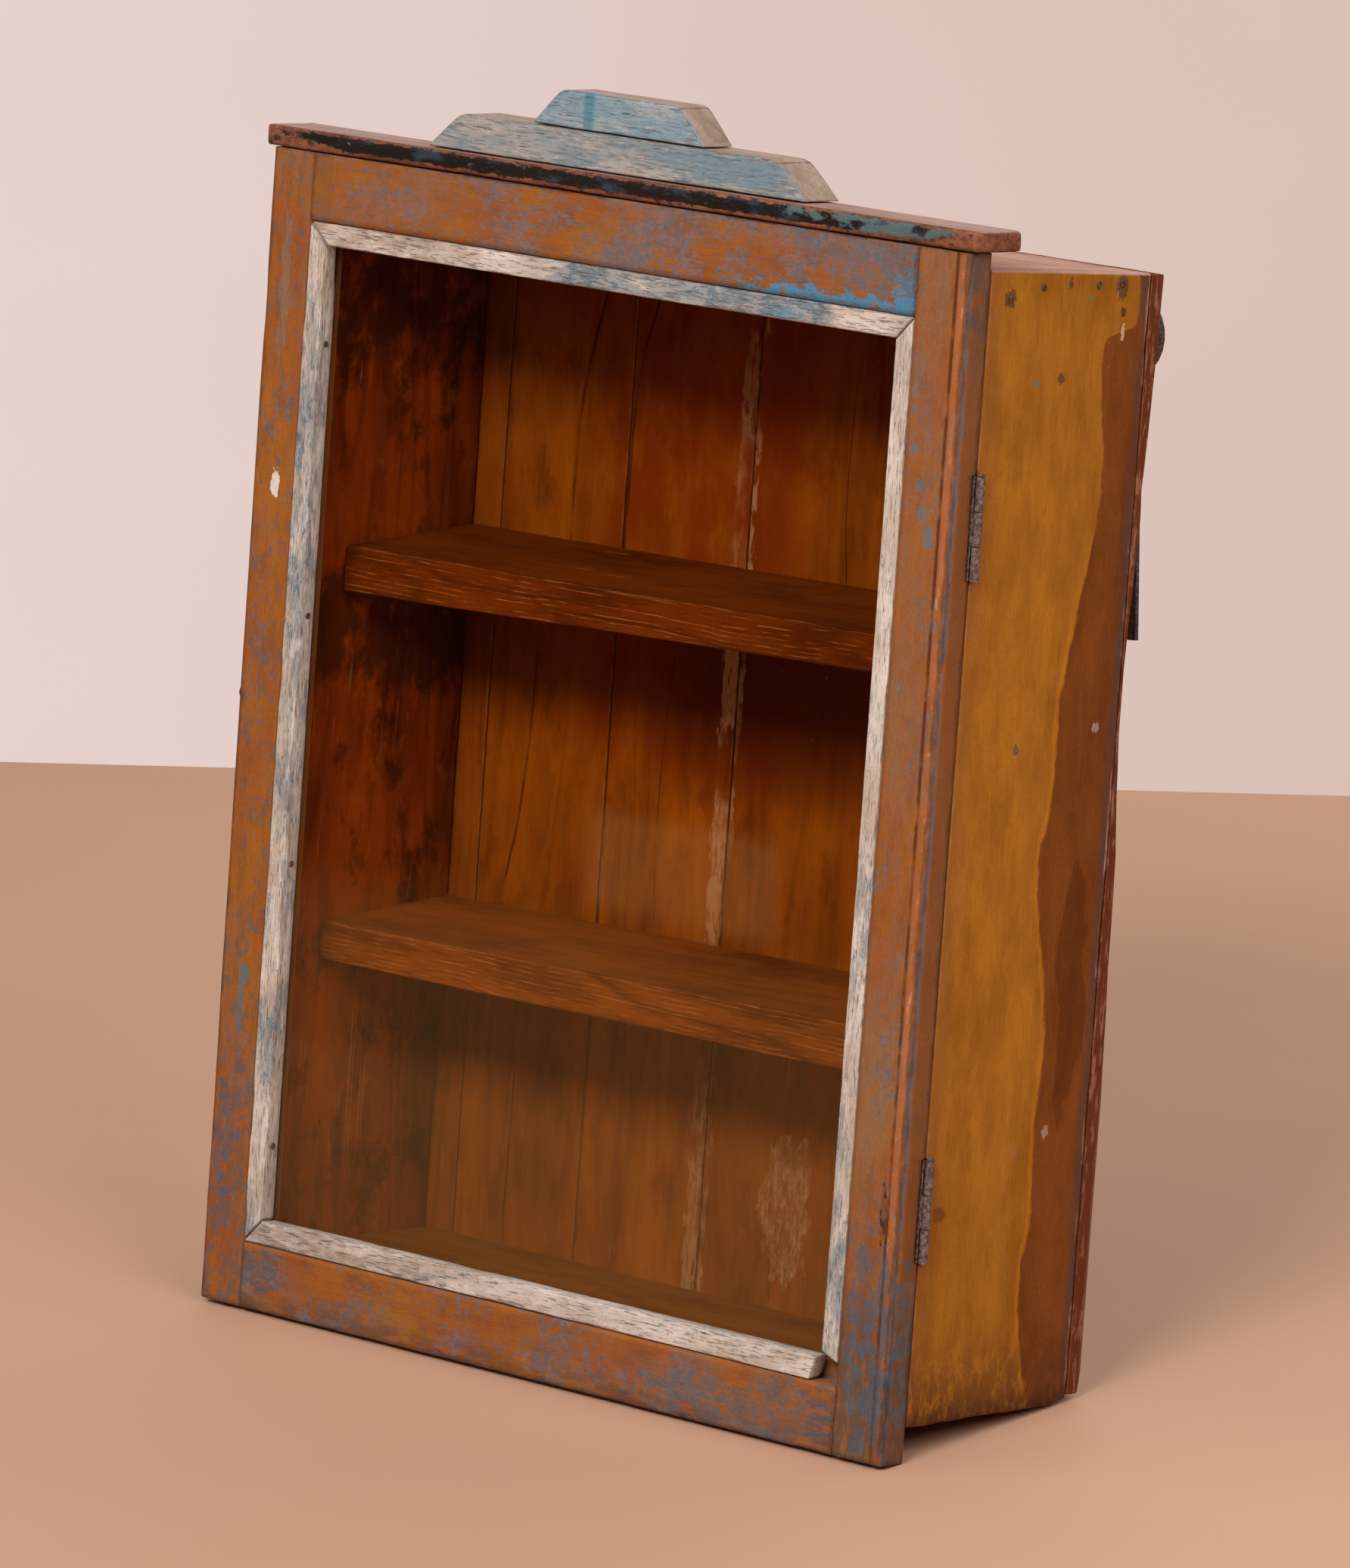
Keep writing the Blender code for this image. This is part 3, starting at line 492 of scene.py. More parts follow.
def bottom_rail_marks(f, colour):
    """Grey-blue rubbing towards the right, and darkened lower edge and ends."""
    low = f.up(11, 2) * f.spread(0.36, 0.6, 4, 3, 4, 0.55)
    colour.cover(low * 0.6, (92, 62, 46))
    fine = f.spread(0.38, 0.6, 1.8, 3)
    blue = f.spot((286, 0, 9), (42, 20, 10), 0.8, 6, 2.5) * fine
    colour.cover(blue * 0.6, (76, 96, 106))
    grey = f.spot((30, 0, 17), (14, 20, 9), 0.8, 5, 2) * fine
    grey = f.either(grey, f.spot((322, 0, 14), (10, 20, 14), 0.7, 5) * fine)
    return f.mix(grey * 0.6, colour, (78, 78, 84))


def left_stile_marks(f, colour):
    """More of the old blue low down, a grey streak at the top, a teal mark and one chip down to the
    white ground."""
    low = f.up(190, 20)
    small = f.noise(4.5, 1.6, 4, 0.6)
    flecks = f.band(small + low * 0.11, 0.58, 0.64)
    blue = f.mix(f.spread(0.4, 0.6, 2.5, 1, 2, 0.55), (86, 88, 92), (104, 86, 78))
    colour.cover(flecks * 0.52, blue)
    streak = f.spot((10, 0, 392), (2.5, 9, 28), 0.9, 2, 5)
    colour.cover(streak * 0.38, (122, 118, 104))
    teal = f.either(f.spot((11, 0, 116), (1.3, 9, 13), 0.25, 3),
                    f.spot((12.5, 0, 128), (2.6, 9, 4), 0.25, 3))
    colour.cover(teal * 0.8, (86, 108, 112))
    deep = f.spot((9, 0, 60), (7, 9, 30), 0.9, 5) * f.spread(0.5, 0.56, 2.2, 2)
    colour.cover(deep * 0.7, (72, 88, 108))
    chip = f.spot((11.5, 0, 317.5), (2.3, 3, 5.6), 0.3, 2.5)
    return f.mix(chip, colour, WHITE)


def right_stile_marks(f, colour):
    """A rubbed grey strip, a groove full of dirt, a run bead painted lighter as a highlight, partly pale worn
    paint, and a blue-grey arris.
    """
    rubbed = f.strip(327, 342, 3) * f.spread(0.34, 0.6, 20, 4, 4, 0.6) * f.spread(0.3, 0.6, 1.2, 7)
    colour.cover(rubbed * 0.5, (128, 104, 80))
    for x, z, wide, tall in ((336, 349, 2.6, 3), (339.5, 341, 3, 5), (334, 359, 2, 2.4),
                             (331, 372, 1.6, 2)):
        teal = f.spot((x, 0, z), (wide, 9, tall), 0.6, 1.6)
        colour.cover(teal * 0.6, TEAL)
    # Painted highlight along the rounded run bead: a lighter orange band and paler spots on it, partly pale
    # worn paint.
    bead = f.strip(345.2, 348.6, 0.6) * f.spread(0.3, 0.56, 7, 6, 4, 0.6)
    colour.cover(bead * 0.5, (178, 108, 70))
    pale = f.strip(345.2, 348.2, 0.5) * f.spread(0.58, 0.66, 2.4, 4)
    colour.cover(pale * 0.48, (200, 152, 130))
    groove = f.strip(343.6, 345.2, 0.3) * f.spread(0.4, 0.55, 8, 2, 3, 0.6)
    colour.cover(groove * 0.75, (84, 44, 24))
    turn = f.y - DOOR_FRONT - (RIGHT - f.x)
    drift = (f.noise(16, 1.5, 3, 0.6) - 0.5) * (4 * MM)
    arris = f.band(f.math("ABSOLUTE", turn + drift - 1.6 * MM), 1.25 * MM, 0.8 * MM)
    arris = arris * f.spread(0.38, 0.5, 5, 6, 4, 0.6)
    colour.cover(arris * 0.85, (98, 98, 110))
    flank = f.band(turn, 2.2 * MM, 4.5 * MM)
    colour.cover(flank * 0.75, (124, 76, 40))
    high = f.up(395, 425) * f.band(turn, -2 * MM, 3 * MM) * f.spread(0.35, 0.6, 4, 2, 2, 0.55)
    colour.cover(high * 0.75, (84, 76, 74))
    foot = f.band(f.z + f.noise(12, 1.5, 4, 0.55) * (40 * MM), 110 * MM, 56 * MM)
    foot = foot * f.spread(0.3, 0.55, 2, 4)
    colour.cover(foot * 0.7, (84, 68, 58))
    cold = f.spot((341, 2, 44), (14, 12, 42), 0.5, 8) * f.spread(0.42, 0.54, 3.5, 2, 4, 0.65)
    colour.cover(cold * 0.66, (74, 92, 106))
    hollow = f.spot((342.3, 0, 92.5), (1.5, 4, 12), 0.25, 2)
    holes = f.spread(0.45, 0.52, 2.2, 1.5, 2, 0.55)
    return f.mix(hollow * 0.85, colour, f.mix(holes, (44, 30, 26), (112, 76, 52)))


def bead_paint(name, axis, seed, blue=0.0):
    """Cream paint on thin beads, stained blue-grey, cracked along the grain and worn to wood on its
    arrises."""
    f = Finish(name, seed, axis)
    fibres, _ = wood_grain(f, axis, fine=0.45)
    tone = f.noise(12, 3, 4, 0.65)
    colour = f.mix(f.band(tone, 0.36, 0.64), WHITE, CREAM)
    fine = f.noise(1.3, 5, 5)
    stain = f.noise(15, 2.6, 4, 0.65) + blue
    on_top = f.band(f.z, OPENING_TOP - 9.2 * MM, OPENING_TOP - 8 * MM)
    clean = f.either(f.across(165, 135), f.across(280, 290))
    if axis == X:
        stain = stain + on_top * (0.22 - clean * 0.36)
    grey = f.band(fine * 0.55 + stain, 0.72, 0.9)
    colour.cover(grey * 0.8, (134, 140, 144))
    drops = f.band(f.noise(2, 2.4, 5) + stain * 0.5, 0.84, 0.9)
    colour.cover(drops * 0.7, (88, 112, 126))
    warm = f.spread(0.48, 0.68, 9, 3.5, 4, 0.65)
    colour.cover(warm * 0.4, (152, 132, 118))
    if axis == X:
        brown_end = f.across(150, 60) * f.spread(0.36, 0.6, 5, 3, 4, 0.65, along=X)
        colour.cover(brown_end * 0.6, (148, 122, 98))
    blot = f.spot((262, 0, 413.4), (10, 7, 2.4), 0.6, 3, 2, along=X)
    colour.cover(blot * 0.75, (98, 136, 146))
    cracks = f.spread(0.54, 0.64, 0.6, 12)
    colour.cover(cracks * 0.7, (88, 80, 76))
    deep = f.spread(0.66, 0.71, 0.7, 18, 2, 0.6)
    colour.cover(deep * 0.75, (58, 50, 48))
    splits = f.spread(0.76, 0.8, 0.8, 5, 1, 0.55, along=Z if axis == X else X)
    colour.cover(splits * 0.6, GRIME)
    rub = f.noise(2.6, 3) + f.edge * -0.5
    colour.cover(f.band(rub, 0.3, 0.44) * 0.7, (128, 96, 74))
    behind = f.behind(3.5, 6.5)
    colour.cover(behind * 0.4, (120, 108, 104))
    colour = mottle(f, colour, 0.14)
    height = fibres * 0.3 + ((1 - cracks) * 0.4 + (1 - deep) * 0.6)
    return f.finish(colour, 0.62, height, 0.25, 0.25)


def cornice_paint(seed=40):
    """Near-black and dark blue paint on the front edge, bare orange arrises, a painted shadow line along the
    underside, and a pale dusty top.
    """
    f = Finish("cornice_old_paint", seed, X)
    low, high = (Vector(corner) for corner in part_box("cornice_board"))
    wood, grain = bare_wood(f, X, (150, 94, 68), (88, 54, 38))
    patches = f.noise(11, 3, 5, 0.65)
    far_right = f.band(f.x, high.x - 150 * MM, high.x - 40 * MM)
    paint = f.mix(f.band(patches + far_right * 0.1, 0.55, 0.65), (30, 24, 22), (46, 58, 74))
    teal = f.band(f.noise(7, 2, 5, 0.65) + far_right * 0.24, 0.64, 0.72)
    paint.cover(teal * 0.75, (94, 114, 116))
    specks = f.spread(0.6, 0.74, 1.2, 3, 4, 0.75)
    paint.cover(specks * 0.55, (116, 104, 100))
    chips = f.spread(0.68, 0.72, 4.5, 1.8)
    paint.cover(chips * 0.8, (150, 96, 70))
    under = f.z - low.z
    ragged = (f.noise(3, 2.2, 5) - 0.5) * (5.0 * MM)
    left = f.band(f.x, low.x + 42 * MM, low.x + 14 * MM)
    right = f.band(f.x, high.x - 34 * MM, high.x - 6 * MM)
    bare_band = 1.9 * MM + (left * (3.0 * MM) + right * (1.8 * MM))
    covered = f.band(under - bare_band + ragged, -0.2 * MM,
                     0.4 * MM) * f.band(high.z - 0.9 * MM - f.z + ragged, -0.2 * MM, 0.4 * MM)
    front = f.band(f.y, low.y + 2.8 * MM, low.y + 1.8 * MM)
    ragged_end = f.noise(6, 1.6) * (60 * MM)
    ends = f.band(f.x - ragged_end, low.x - 20 * MM, low.x - 12 * MM) * f.band(f.x + ragged_end,
            high.x + 20 * MM, high.x + 12 * MM)
    painted = covered * front * ends
    edge_dirt = f.spread(0.44, 0.6, 2, 2, 5)
    wood.cover(edge_dirt * 0.6, (84, 48, 34))
    wood.cover(front * f.spread(0.56, 0.62, 4, 1.5) * 0.8, (44, 38, 34))
    # Painted shadow: the lowest 0.9 mm of the board, where its lower edge turns under, is darkened as a
    # shadow line.
    wood.cover(f.band(f.z, low.z + 0.9 * MM, low.z + 0.3 * MM) * 0.7, GRIME)
    colour = f.mix(painted, wood, paint)
    top = f.band(f.z, high.z - 0.9 * MM, high.z - 0.2 * MM) * f.band(f.y, low.y + 1.6 * MM,
            low.y + 3.4 * MM)
    dusty, _ = bare_wood(f, X, (178, 150, 142), (134, 98, 86))
    colour.cover(top * 0.9, dusty)
    colour = mottle(f, colour, 0.18)
    height = grain * 0.4 + (painted * 0.5 + specks * 0.3)
    return f.finish(colour, 0.66 + painted * -0.16, height, 0.3, 0.12)


def pediment_paint(name, node, seed, ground, stain, stain_bias, deep):
    """Weathered light paint on a pediment block, with pinkish bare ends and top."""
    f = Finish(name, seed, X)
    low, high = (Vector(corner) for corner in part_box(node))
    tone = f.noise(18, 2.4, 4, 0.65)
    fine = f.noise(1.4, 6, 5, 0.72)
    colour = f.mix(f.band(tone + stain_bias + fine * 0.4, 0.58, 0.82), ground, stain)
    streaks = f.spread(0.52, 0.64, 0.9, 9, 5)
    colour.cover(streaks * 0.55, deep)
    pale = f.spread(0.56, 0.66, 1.6, 6, 5)
    colour.cover(pale * 0.5, (198, 184, 174))
    cracks = f.spread(0.62, 0.68, 0.55, 20, 3, 0.65)
    colour.cover(cracks * 0.75, (66, 62, 64))
    wood, _ = bare_wood(f, X, (170, 148, 132), (122, 98, 82))
    inner = f.band(f.y, low.y + 1.2 * MM, low.y + 2.4 * MM)
    colour.cover(inner, wood)
    rub = f.noise(2.4, 3) + f.edge * -0.45
    colour.cover(f.band(rub, 0.3, 0.44) * 0.75, (112, 66, 54))
    colour = mottle(f, colour, 0.14)
    return (f, colour, (1 - cracks) * 0.6 + streaks * 0.4, (low, high))


def lower_pediment():
    f, colour, height, _ = pediment_paint("pediment_lower_paint", "pediment_lower", 50, (172, 162, 152),
            (128, 140, 144), 0.02, (96, 102, 108))
    blue = f.spot((226, 4, 461), (34, 8, 5), 0.8, 5, 3)
    colour.cover(blue * 0.6, (104, 134, 150))
    return f.finish(colour, 0.7, height, 0.22, 0.3)


def upper_pediment():
    f, colour, height, (low, _) = pediment_paint("pediment_upper_paint", "pediment_upper", 60,
            (160, 166, 168), (124, 148, 160), 0.1, (90, 106, 118))
    stripe = f.between(f.x, low.x + 26 * MM, low.x + 31 * MM, 1.2 * MM) * f.band(f.y, low.y + 2.4 * MM,
            low.y + 1.2 * MM)
    colour.cover(stripe * 0.7, (58, 122, 138))
    return f.finish(colour, 0.66, height, 0.18, 0.3)


# ---- Materials of the carcass

TOP_SLOPE = -0.039              # of the carcass's top, which falls towards the back
INSIDE_LIGHT = (162, 82, 10)
INSIDE_DARK = (88, 35, 4)

# How far behind the door's front the paint on the side stops, by height above the door's lower edge, in
# millimetres
PAINT_LIMIT = ((20, 79), (60, 71), (85, 74), (120, 73), (150, 74.5), (193, 68), (215, 64), (247, 69),
               (279, 69),
               (312, 75), (357, 83), (411, 79), (417, 96.5), (440, 95))


# Small marks on the outer face: how far back and how high they are, how wide and tall, and their colour
SIDE_MARKS = (
    (24.4, 428, 3.0, 3.6, (92, 62, 40)), (57.5, 432.8, 1.1, 2.0, (84, 60, 44)),
              (86.6, 431, 3.4, 4.4, (84, 62, 50)),
    (88.3, 421.4, 1.6, 1.6, (66, 46, 34)), (88.6, 413.9, 1.0, 3.4, (214, 176, 146)),
              (42, 397.2, 1.1, 1.8, (96, 112, 128)),
    (55.9, 397.9, 2.0, 1.8, (88, 66, 40)), (69.1, 426.9, 1.2, 0.9, (92, 124, 96)),
              (46, 262, 1.6, 2.2, (104, 78, 80)),
    (79, 118, 1.8, 2.6, (170, 138, 124)), (62, 112, 1.4, 3.4, (168, 104, 66)),
              (90, 268, 2.4, 1.8, (158, 140, 132)),
    (22, 92, 3.6, 3.0, (122, 68, 34)))


def inner_side_wood(f):
    """Brown wood with big dark stains and pale dry runs, with painted shade that makes it darkest under each
    shelf and towards the back.
    """
    wood, _ = bare_wood(f, Z, (170, 72, 10), (92, 30, 4))
    # Painted shade: the dark stains grow under the top board and the upper shelf, where shadow falls.
    under = f.either(f.up(346, 396), f.up(214, 262) * f.up(290, 270))
    stains = f.noise(22, 1.3, 5, 0.68) + under * 0.2
    wood.cover(f.band(stains, 0.5, 0.66) * 0.8, (62, 26, 6))
    bare = f.spread(0.56, 0.7, 17, 1.2, 4, 0.65)
    wood.cover(bare * 0.4, (192, 92, 18))
    runs = f.spread(0.6, 0.72, 2.4, 14, 3, 0.6) * f.spread(0.46, 0.6, 30, 1.4, 3, 0.55)
    wood.cover(runs * 0.3, (190, 132, 82))
    spots = f.spread(0.7, 0.78, 5, 1.6)
    wood.cover(spots * 0.4, (206, 140, 84))
    # Painted shade: the wood grows darker towards the back corner.
    corner = f.behind(70, 104)
    return f.shade(wood, 1.0 - corner * 0.35)


def side_material(name, seed, outside):
    """Ochre paint outside, worn off in a wavy strip along the back, and brown wood inside."""
    f = Finish(name, seed, Z)
    wood = inner_side_wood(f)
    plain, _ = bare_wood(f, Z, (124, 74, 40), (80, 46, 26))
    wood.cover(f.band(f.y, CARCASS_FRONT + 2.5 * MM, CARCASS_FRONT + 1.2 * MM) * 0.9, plain)
    fibres = f.noise(0.8, 16, 4, 0.68)
    tone = f.noise(20, 3, 4, 0.65)
    paint = f.mix(f.band(tone, 0.3, 0.7), (177, 116, 40), (150, 94, 30))
    dull = f.either(f.up(330, 410), f.up(150, 60))
    paint = f.shade(paint, 0.74 + fibres * 0.52 - dull * 0.08)
    smoke = f.spread(0.54, 0.72, 7, 3, 5)
    paint.cover(smoke * 0.3, (104, 62, 28))
    front = f.band(f.y + f.noise(6, 3, 4, 0.55) * (12 * MM), DOOR_FRONT + 32 * MM, DOOR_FRONT + 20 * MM)
    paint.cover(front * 0.5, (138, 84, 48))
    bare, _ = bare_wood(f, Z, (134, 76, 32), (88, 44, 18), lines=0.04)
    side = (outside - LEFT) / MM
    deep = f.spot((side, 88, 168), (9, 9, 46), 0.5, 12, 3)
    bare.cover(deep * 0.45, (74, 36, 16))
    limit = f.curve(f.z, PAINT_LIMIT, 445.0, 120.0) + DOOR_FRONT
    ragged = (f.noise(3.5, 3, 5, 0.65) - 0.5) * (5 * MM)
    past = f.y + ragged - limit
    behind = f.band(past, -0.5 * MM, 0.6 * MM)
    lip = f.between(past, -2.2 * MM, -0.6 * MM, 0.6 * MM) * f.up(350, 300)
    paint.cover(lip * 0.5, (190, 118, 34))
    skin = f.mix(behind, paint, bare)
    blots = f.spread(0.68, 0.74, 5, 1.8, 4, 0.65)
    skin.cover(blots * 0.4, (66, 42, 28))
    scratches = f.spread(0.68, 0.73, 0.7, 9, 4, 0.7, 0.4)
    skin.cover(scratches * 0.45, (188, 140, 104))
    rear = f.behind(95, 100.5) * f.spread(0.34, 0.56, 4, 6, 5)
    skin.cover(rear * 0.7, (84, 66, 62))
    seam = f.behind(100.6, 101.6) * f.spread(0.5, 0.6, 3, 7)
    skin.cover(seam * 0.7, (186, 148, 134))
    specks = f.spread(0.81, 0.83, 1.3, 1.4, 1, 0.55)
    skin.cover(specks * 0.7, (158, 134, 120))
    for y, z, wide, tall, colour in SIDE_MARKS:
        mark = f.spot((side, y, z), (3, wide, tall), 0.5, 1.5)
        skin.cover(mark * 0.8, colour)
    foot = f.up(58, 16) * f.spread(0.34, 0.56, 6, 2, 5)
    skin.cover(foot * 0.72, (92, 52, 32))
    sole = f.band(f.z + f.noise(4, 1.5) * (18 * MM), 32 * MM, 20 * MM)
    skin.cover(sole * 0.82, (62, 38, 26))
    toward = 1 if outside > 0 else -1
    outer = f.band(f.x * toward, outside * toward - 1.6 * MM, outside * toward - 0.7 * MM)
    colour = f.mix(outer, wood, skin)
    pale, _ = bare_wood(f, Y, (196, 158, 142), (150, 104, 84))
    top_face = f.band(f.z - f.y * TOP_SLOPE, 436.0 * MM, 436.8 * MM)
    colour.cover(top_face * 0.85, pale)
    rub = f.noise(3, 3) + f.edge * -0.4
    colour.cover(f.band(rub, 0.36, 0.5) * 0.5, PINK_WOOD)
    colour = mottle(f, colour, 0.16)
    height = fibres * 0.5 + ((1 - behind) * 0.35 + scratches * 0.2)
    return f.finish(colour, 0.42 + behind * 0.14, height, 0.16, 0.015)


def interior_wood(name, axis, seed, light=None, dark=None, extra=None, rough=0.5, ring=5, lines=0.1):
    """Orange-brown old wood with darker stains and a few pale specks, and painted shade that makes it a
    little darker towards the bottom.
    """
    f = Finish(name, seed, axis)
    colour, height = bare_wood(f, axis, light or INSIDE_LIGHT, dark or INSIDE_DARK, ring, lines)
    blots = f.spread(0.5, 0.7, 24, 2.2, 5)
    colour.cover(blots * 0.5, (66, 22, 3))
    dry = f.spread(0.6, 0.74, 9, 4, 5)
    colour.cover(dry * 0.35, (190, 98, 24))
    specks = f.spread(0.8, 0.82, 1.3, 1.6, 1, 0.55)
    colour.cover(specks * 0.5, (160, 116, 84))
    if extra is not None:
        colour = extra(f, colour)
    rub = f.noise(4, 3, 3) + f.edge * -0.3
    colour.cover(f.band(rub, 0.36, 0.5) * 0.3, (176, 112, 66))
    # Painted shade: a little darker towards the bottom.
    colour = f.shade(colour, 1.0 - f.up(150, 60) * 0.04)
    return f.finish(colour, rough, height, 0.14, 0.01)


def crack_line(f, points, width):
    """A dark line up a back plank, through points given as height and distance from the door's left, in
    millimetres."""
    drift = (f.noise(8, 3, 3, 0.6) - 0.5) * (1.6 * MM)
    middle = f.curve(f.z, points, 445.0, 350.0) + (drift + LEFT)
    line = f.band(f.math("ABSOLUTE", f.x - middle), width * MM * 1.5, width * MM * 0.2)
    faint = f.spread(0.3, 0.6, 11, 2.5, 3, 0.6)
    return line * faint * f.between(f.z, points[0][0] * MM, points[-1][0] * MM, 3 * MM)


def plank_marks(lines, putty=None):
    """Cracks up a plank, flaked white putty along one joint and greyed wood on its outer face, with painted
    shade: a dark red cloud across the middle planks and painted shadows under the top board and the upper
    shelf.
    """

    def marks(f, colour):
        # Painted shade: a soft dark red cloud over the planks between 84 and 192 mm, strongest in the upper
        # and middle compartments.
        across = f.strip(84, 192, 20)
        upper = f.up(288, 296)
        middle = f.up(200, 236) * (1 - upper)
        cloud = f.spread(0.28, 0.62, 22, 2, 4, 0.65)
        painted_red_shade = across * (upper * 0.68 + middle * 0.66 + 0.12) * cloud
        colour.cover(painted_red_shade, (122, 38, 3))
        # Painted shadow under the top board and under the upper shelf, at the top of the upper and middle
        # compartments.
        deep = f.either(f.up(352, 400), f.up(216, 262) * (1 - upper))
        colour.cover(deep * 0.55, (74, 16, 1))
        # Painted shadow reaching lower under the upper shelf, towards the right of the middle compartment.
        painted_shelf_shadow = f.across(104, 148) * f.up(202, 228) * (1 - upper)
        colour.cover(painted_shelf_shadow * 0.6, (66, 16, 1))
        for points, width in lines:
            colour.cover(crack_line(f, points, width) * 0.8, (52, 16, 3))
        if putty is not None:
            near = f.band(f.math("ABSOLUTE", f.x - (LEFT + putty * MM)), 8 * MM, 1.4 * MM)
            flakes = f.noise(2.6, 4, 5) + near * 0.34
            inside = f.behind(106, 104.5)
            mask = f.band(flakes, 0.72, 0.84) * inside * f.spread(0.4, 0.6, 26, 1.5, 4, 0.55)
            colour.cover(mask * 0.62, (184, 132, 92))
            around = f.spot((205, 103, 62), (13, 9, 30), 0.5, 8, 2) * inside
            patch = around * f.spread(0.42, 0.66, 2.2, 2.8, 5, 0.76)
            colour.cover(around * 0.3, (150, 92, 48))
            colour.cover(patch * 0.6, (188, 138, 104))
        flank = f.band(f.x, RIGHT - 1.6 * MM, RIGHT - 0.6 * MM)
        worn = f.spread(0.52, 0.64, 2.6, 5)
        colour.cover(flank * 0.85, f.mix(worn, (98, 54, 36), (152, 104, 84)))
        rear = f.behind(108.4, 109.6)
        old, _ = bare_wood(f, Z, (132, 86, 56), (70, 42, 28))
        grey = f.spread(0.42, 0.66, 24, 3, 4, 0.6)
        old.cover(grey * 0.5, (120, 104, 92))
        return f.mix(rear * 0.9, colour, old)
    return marks


def shelf_marks(node, tone):
    """A lighter, rubbed front edge with pale broken lines in its grain."""
    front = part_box(node)[0].y

    def marks(f, colour):
        edge = f.band(f.y, front + 3.2 * MM, front + 1.2 * MM)
        pale, _ = bare_wood(f, X, tone, (70, 25, 2), lines=0.3)
        colour.cover(edge * 0.8, pale)
        arch = f.math("SINE", f.z * 3400.0 + f.noise(40, 2, 3, 0.55) * 24.0)
        broken = f.spread(0.48, 0.6, 1.2, 14)
        colour.cover(f.band(arch, 0.5, 0.95) * broken * edge * 0.42, (190, 112, 56))
        lines = f.spread(0.52, 0.66, 0.8, 16, 4, 0.65)
        return f.mix(lines * edge * 0.5, colour, (60, 20, 3))
    return marks


def glass_material():
    """Old window glass: clear, a mirror at a grazing angle, with streaky dust low down and along its
    edges."""
    f = Finish("old_glass", 90, X)
    low, high = (Vector(corner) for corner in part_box("glass_pane"))
    haze = f.up(118, 96) * 0.4 + f.up(186, 150) * 0.6
    cloud = f.noise(60, 1.5, 4, 0.6)
    middle = f.up(236, 200) * (1 - haze)
    patch = f.strip(178, 272, 7) * f.between(f.z, 181 * MM, 217 * MM, 5 * MM) * (0.45 + cloud)
    specks = f.spread(0.81, 0.83, 1.2, 1, 1, 0.55)
    wipe = f.spread(0.45, 0.75, 7, 9, 3, 0.6, 0.6)
    dust = haze * 0.047 + (middle * 0.003 + patch * 0.036)
    dust = dust + cloud * wipe * 0.004 + specks * 0.2
    rim = f.math("MINIMUM", f.x - low.x, high.x - f.x)
    rim = f.math("MINIMUM", rim, f.math("MINIMUM", f.z - low.z, high.z - f.z))
    dust = dust + f.band(rim, 14 * MM, 7 * MM) * 0.003
    streak = f.spot((64, 8, 96), (0.5, 9, 40), 0.3, 12, 2, along=Z)
    streak = f.either(streak, f.spot((70, 8, 88), (0.5, 9, 20), 0.3, 12, 2, along=Z))
    dust = dust + streak * 0.05
    clear = f.add("BsdfTransparent", {"Color": (0.97, 0.97, 0.95, 1.0)}).outputs[0]
    film = f.add("BsdfDiffuse", {"Color": (210, 158, 96)}).outputs[0]
    mirror = f.add("BsdfGlossy", {"Color": (1, 1, 1, 1), "Roughness": 0.08}).outputs[0]
    dusty = f.add("MixShader", {0: dust, 1: clear, 2: film}).outputs[0]
    grazing = f.math("POWER", f.add("LayerWeight", {"Blend": 0.5}).outputs["Facing"], 5.0)
    pane = f.add("MixShader", {0: grazing * 0.6, 1: dusty, 2: mirror}).outputs[0]
    f.tree.nodes.remove(f.shader)
    f.tree.links.new(pane, f.output.inputs["Surface"])
    return f.material


def iron_material(name, seed, light=(124, 104, 98), dark=(84, 68, 64)):
    """Dark rusty iron with pits."""
    f = Finish(name, seed)
    rust = f.noise(1.4, 1, 5)
    colour = f.mix(f.band(rust, 0.4, 0.62), dark, light)
    orange = f.spread(0.58, 0.68, 2.4)
    colour.cover(orange * 0.5, (128, 74, 44))
    f.feed(f.shader.inputs["Metallic"], f.band(rust, 0.62, 0.42) * 0.5)
    return f.finish(mottle(f, colour, 0.2), 0.5 + rust * 0.35, rust, 0.06)


# ---- Pieces of the door

def leaf_recesses(owner):
    """The height and inner side of the recess round each hinge leaf, with how deep it goes."""
    recesses = []
    for position in ("upper", "lower"):
        low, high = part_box(f"hinge_{position}_{owner}_leaf")
        recesses.append((low.z - GAP, high.z + GAP, low.x - GAP))
    return recesses


def recessed(points, owner, fixed, face, level):
    for bottom, top, inner in leaf_recesses(owner):
        inside = (points[:, Z] > bottom) & (points[:, Z] < top) & (points[:, X] > inner)
        points = squeeze(points, Y, fixed, face, level, inside)
    return points


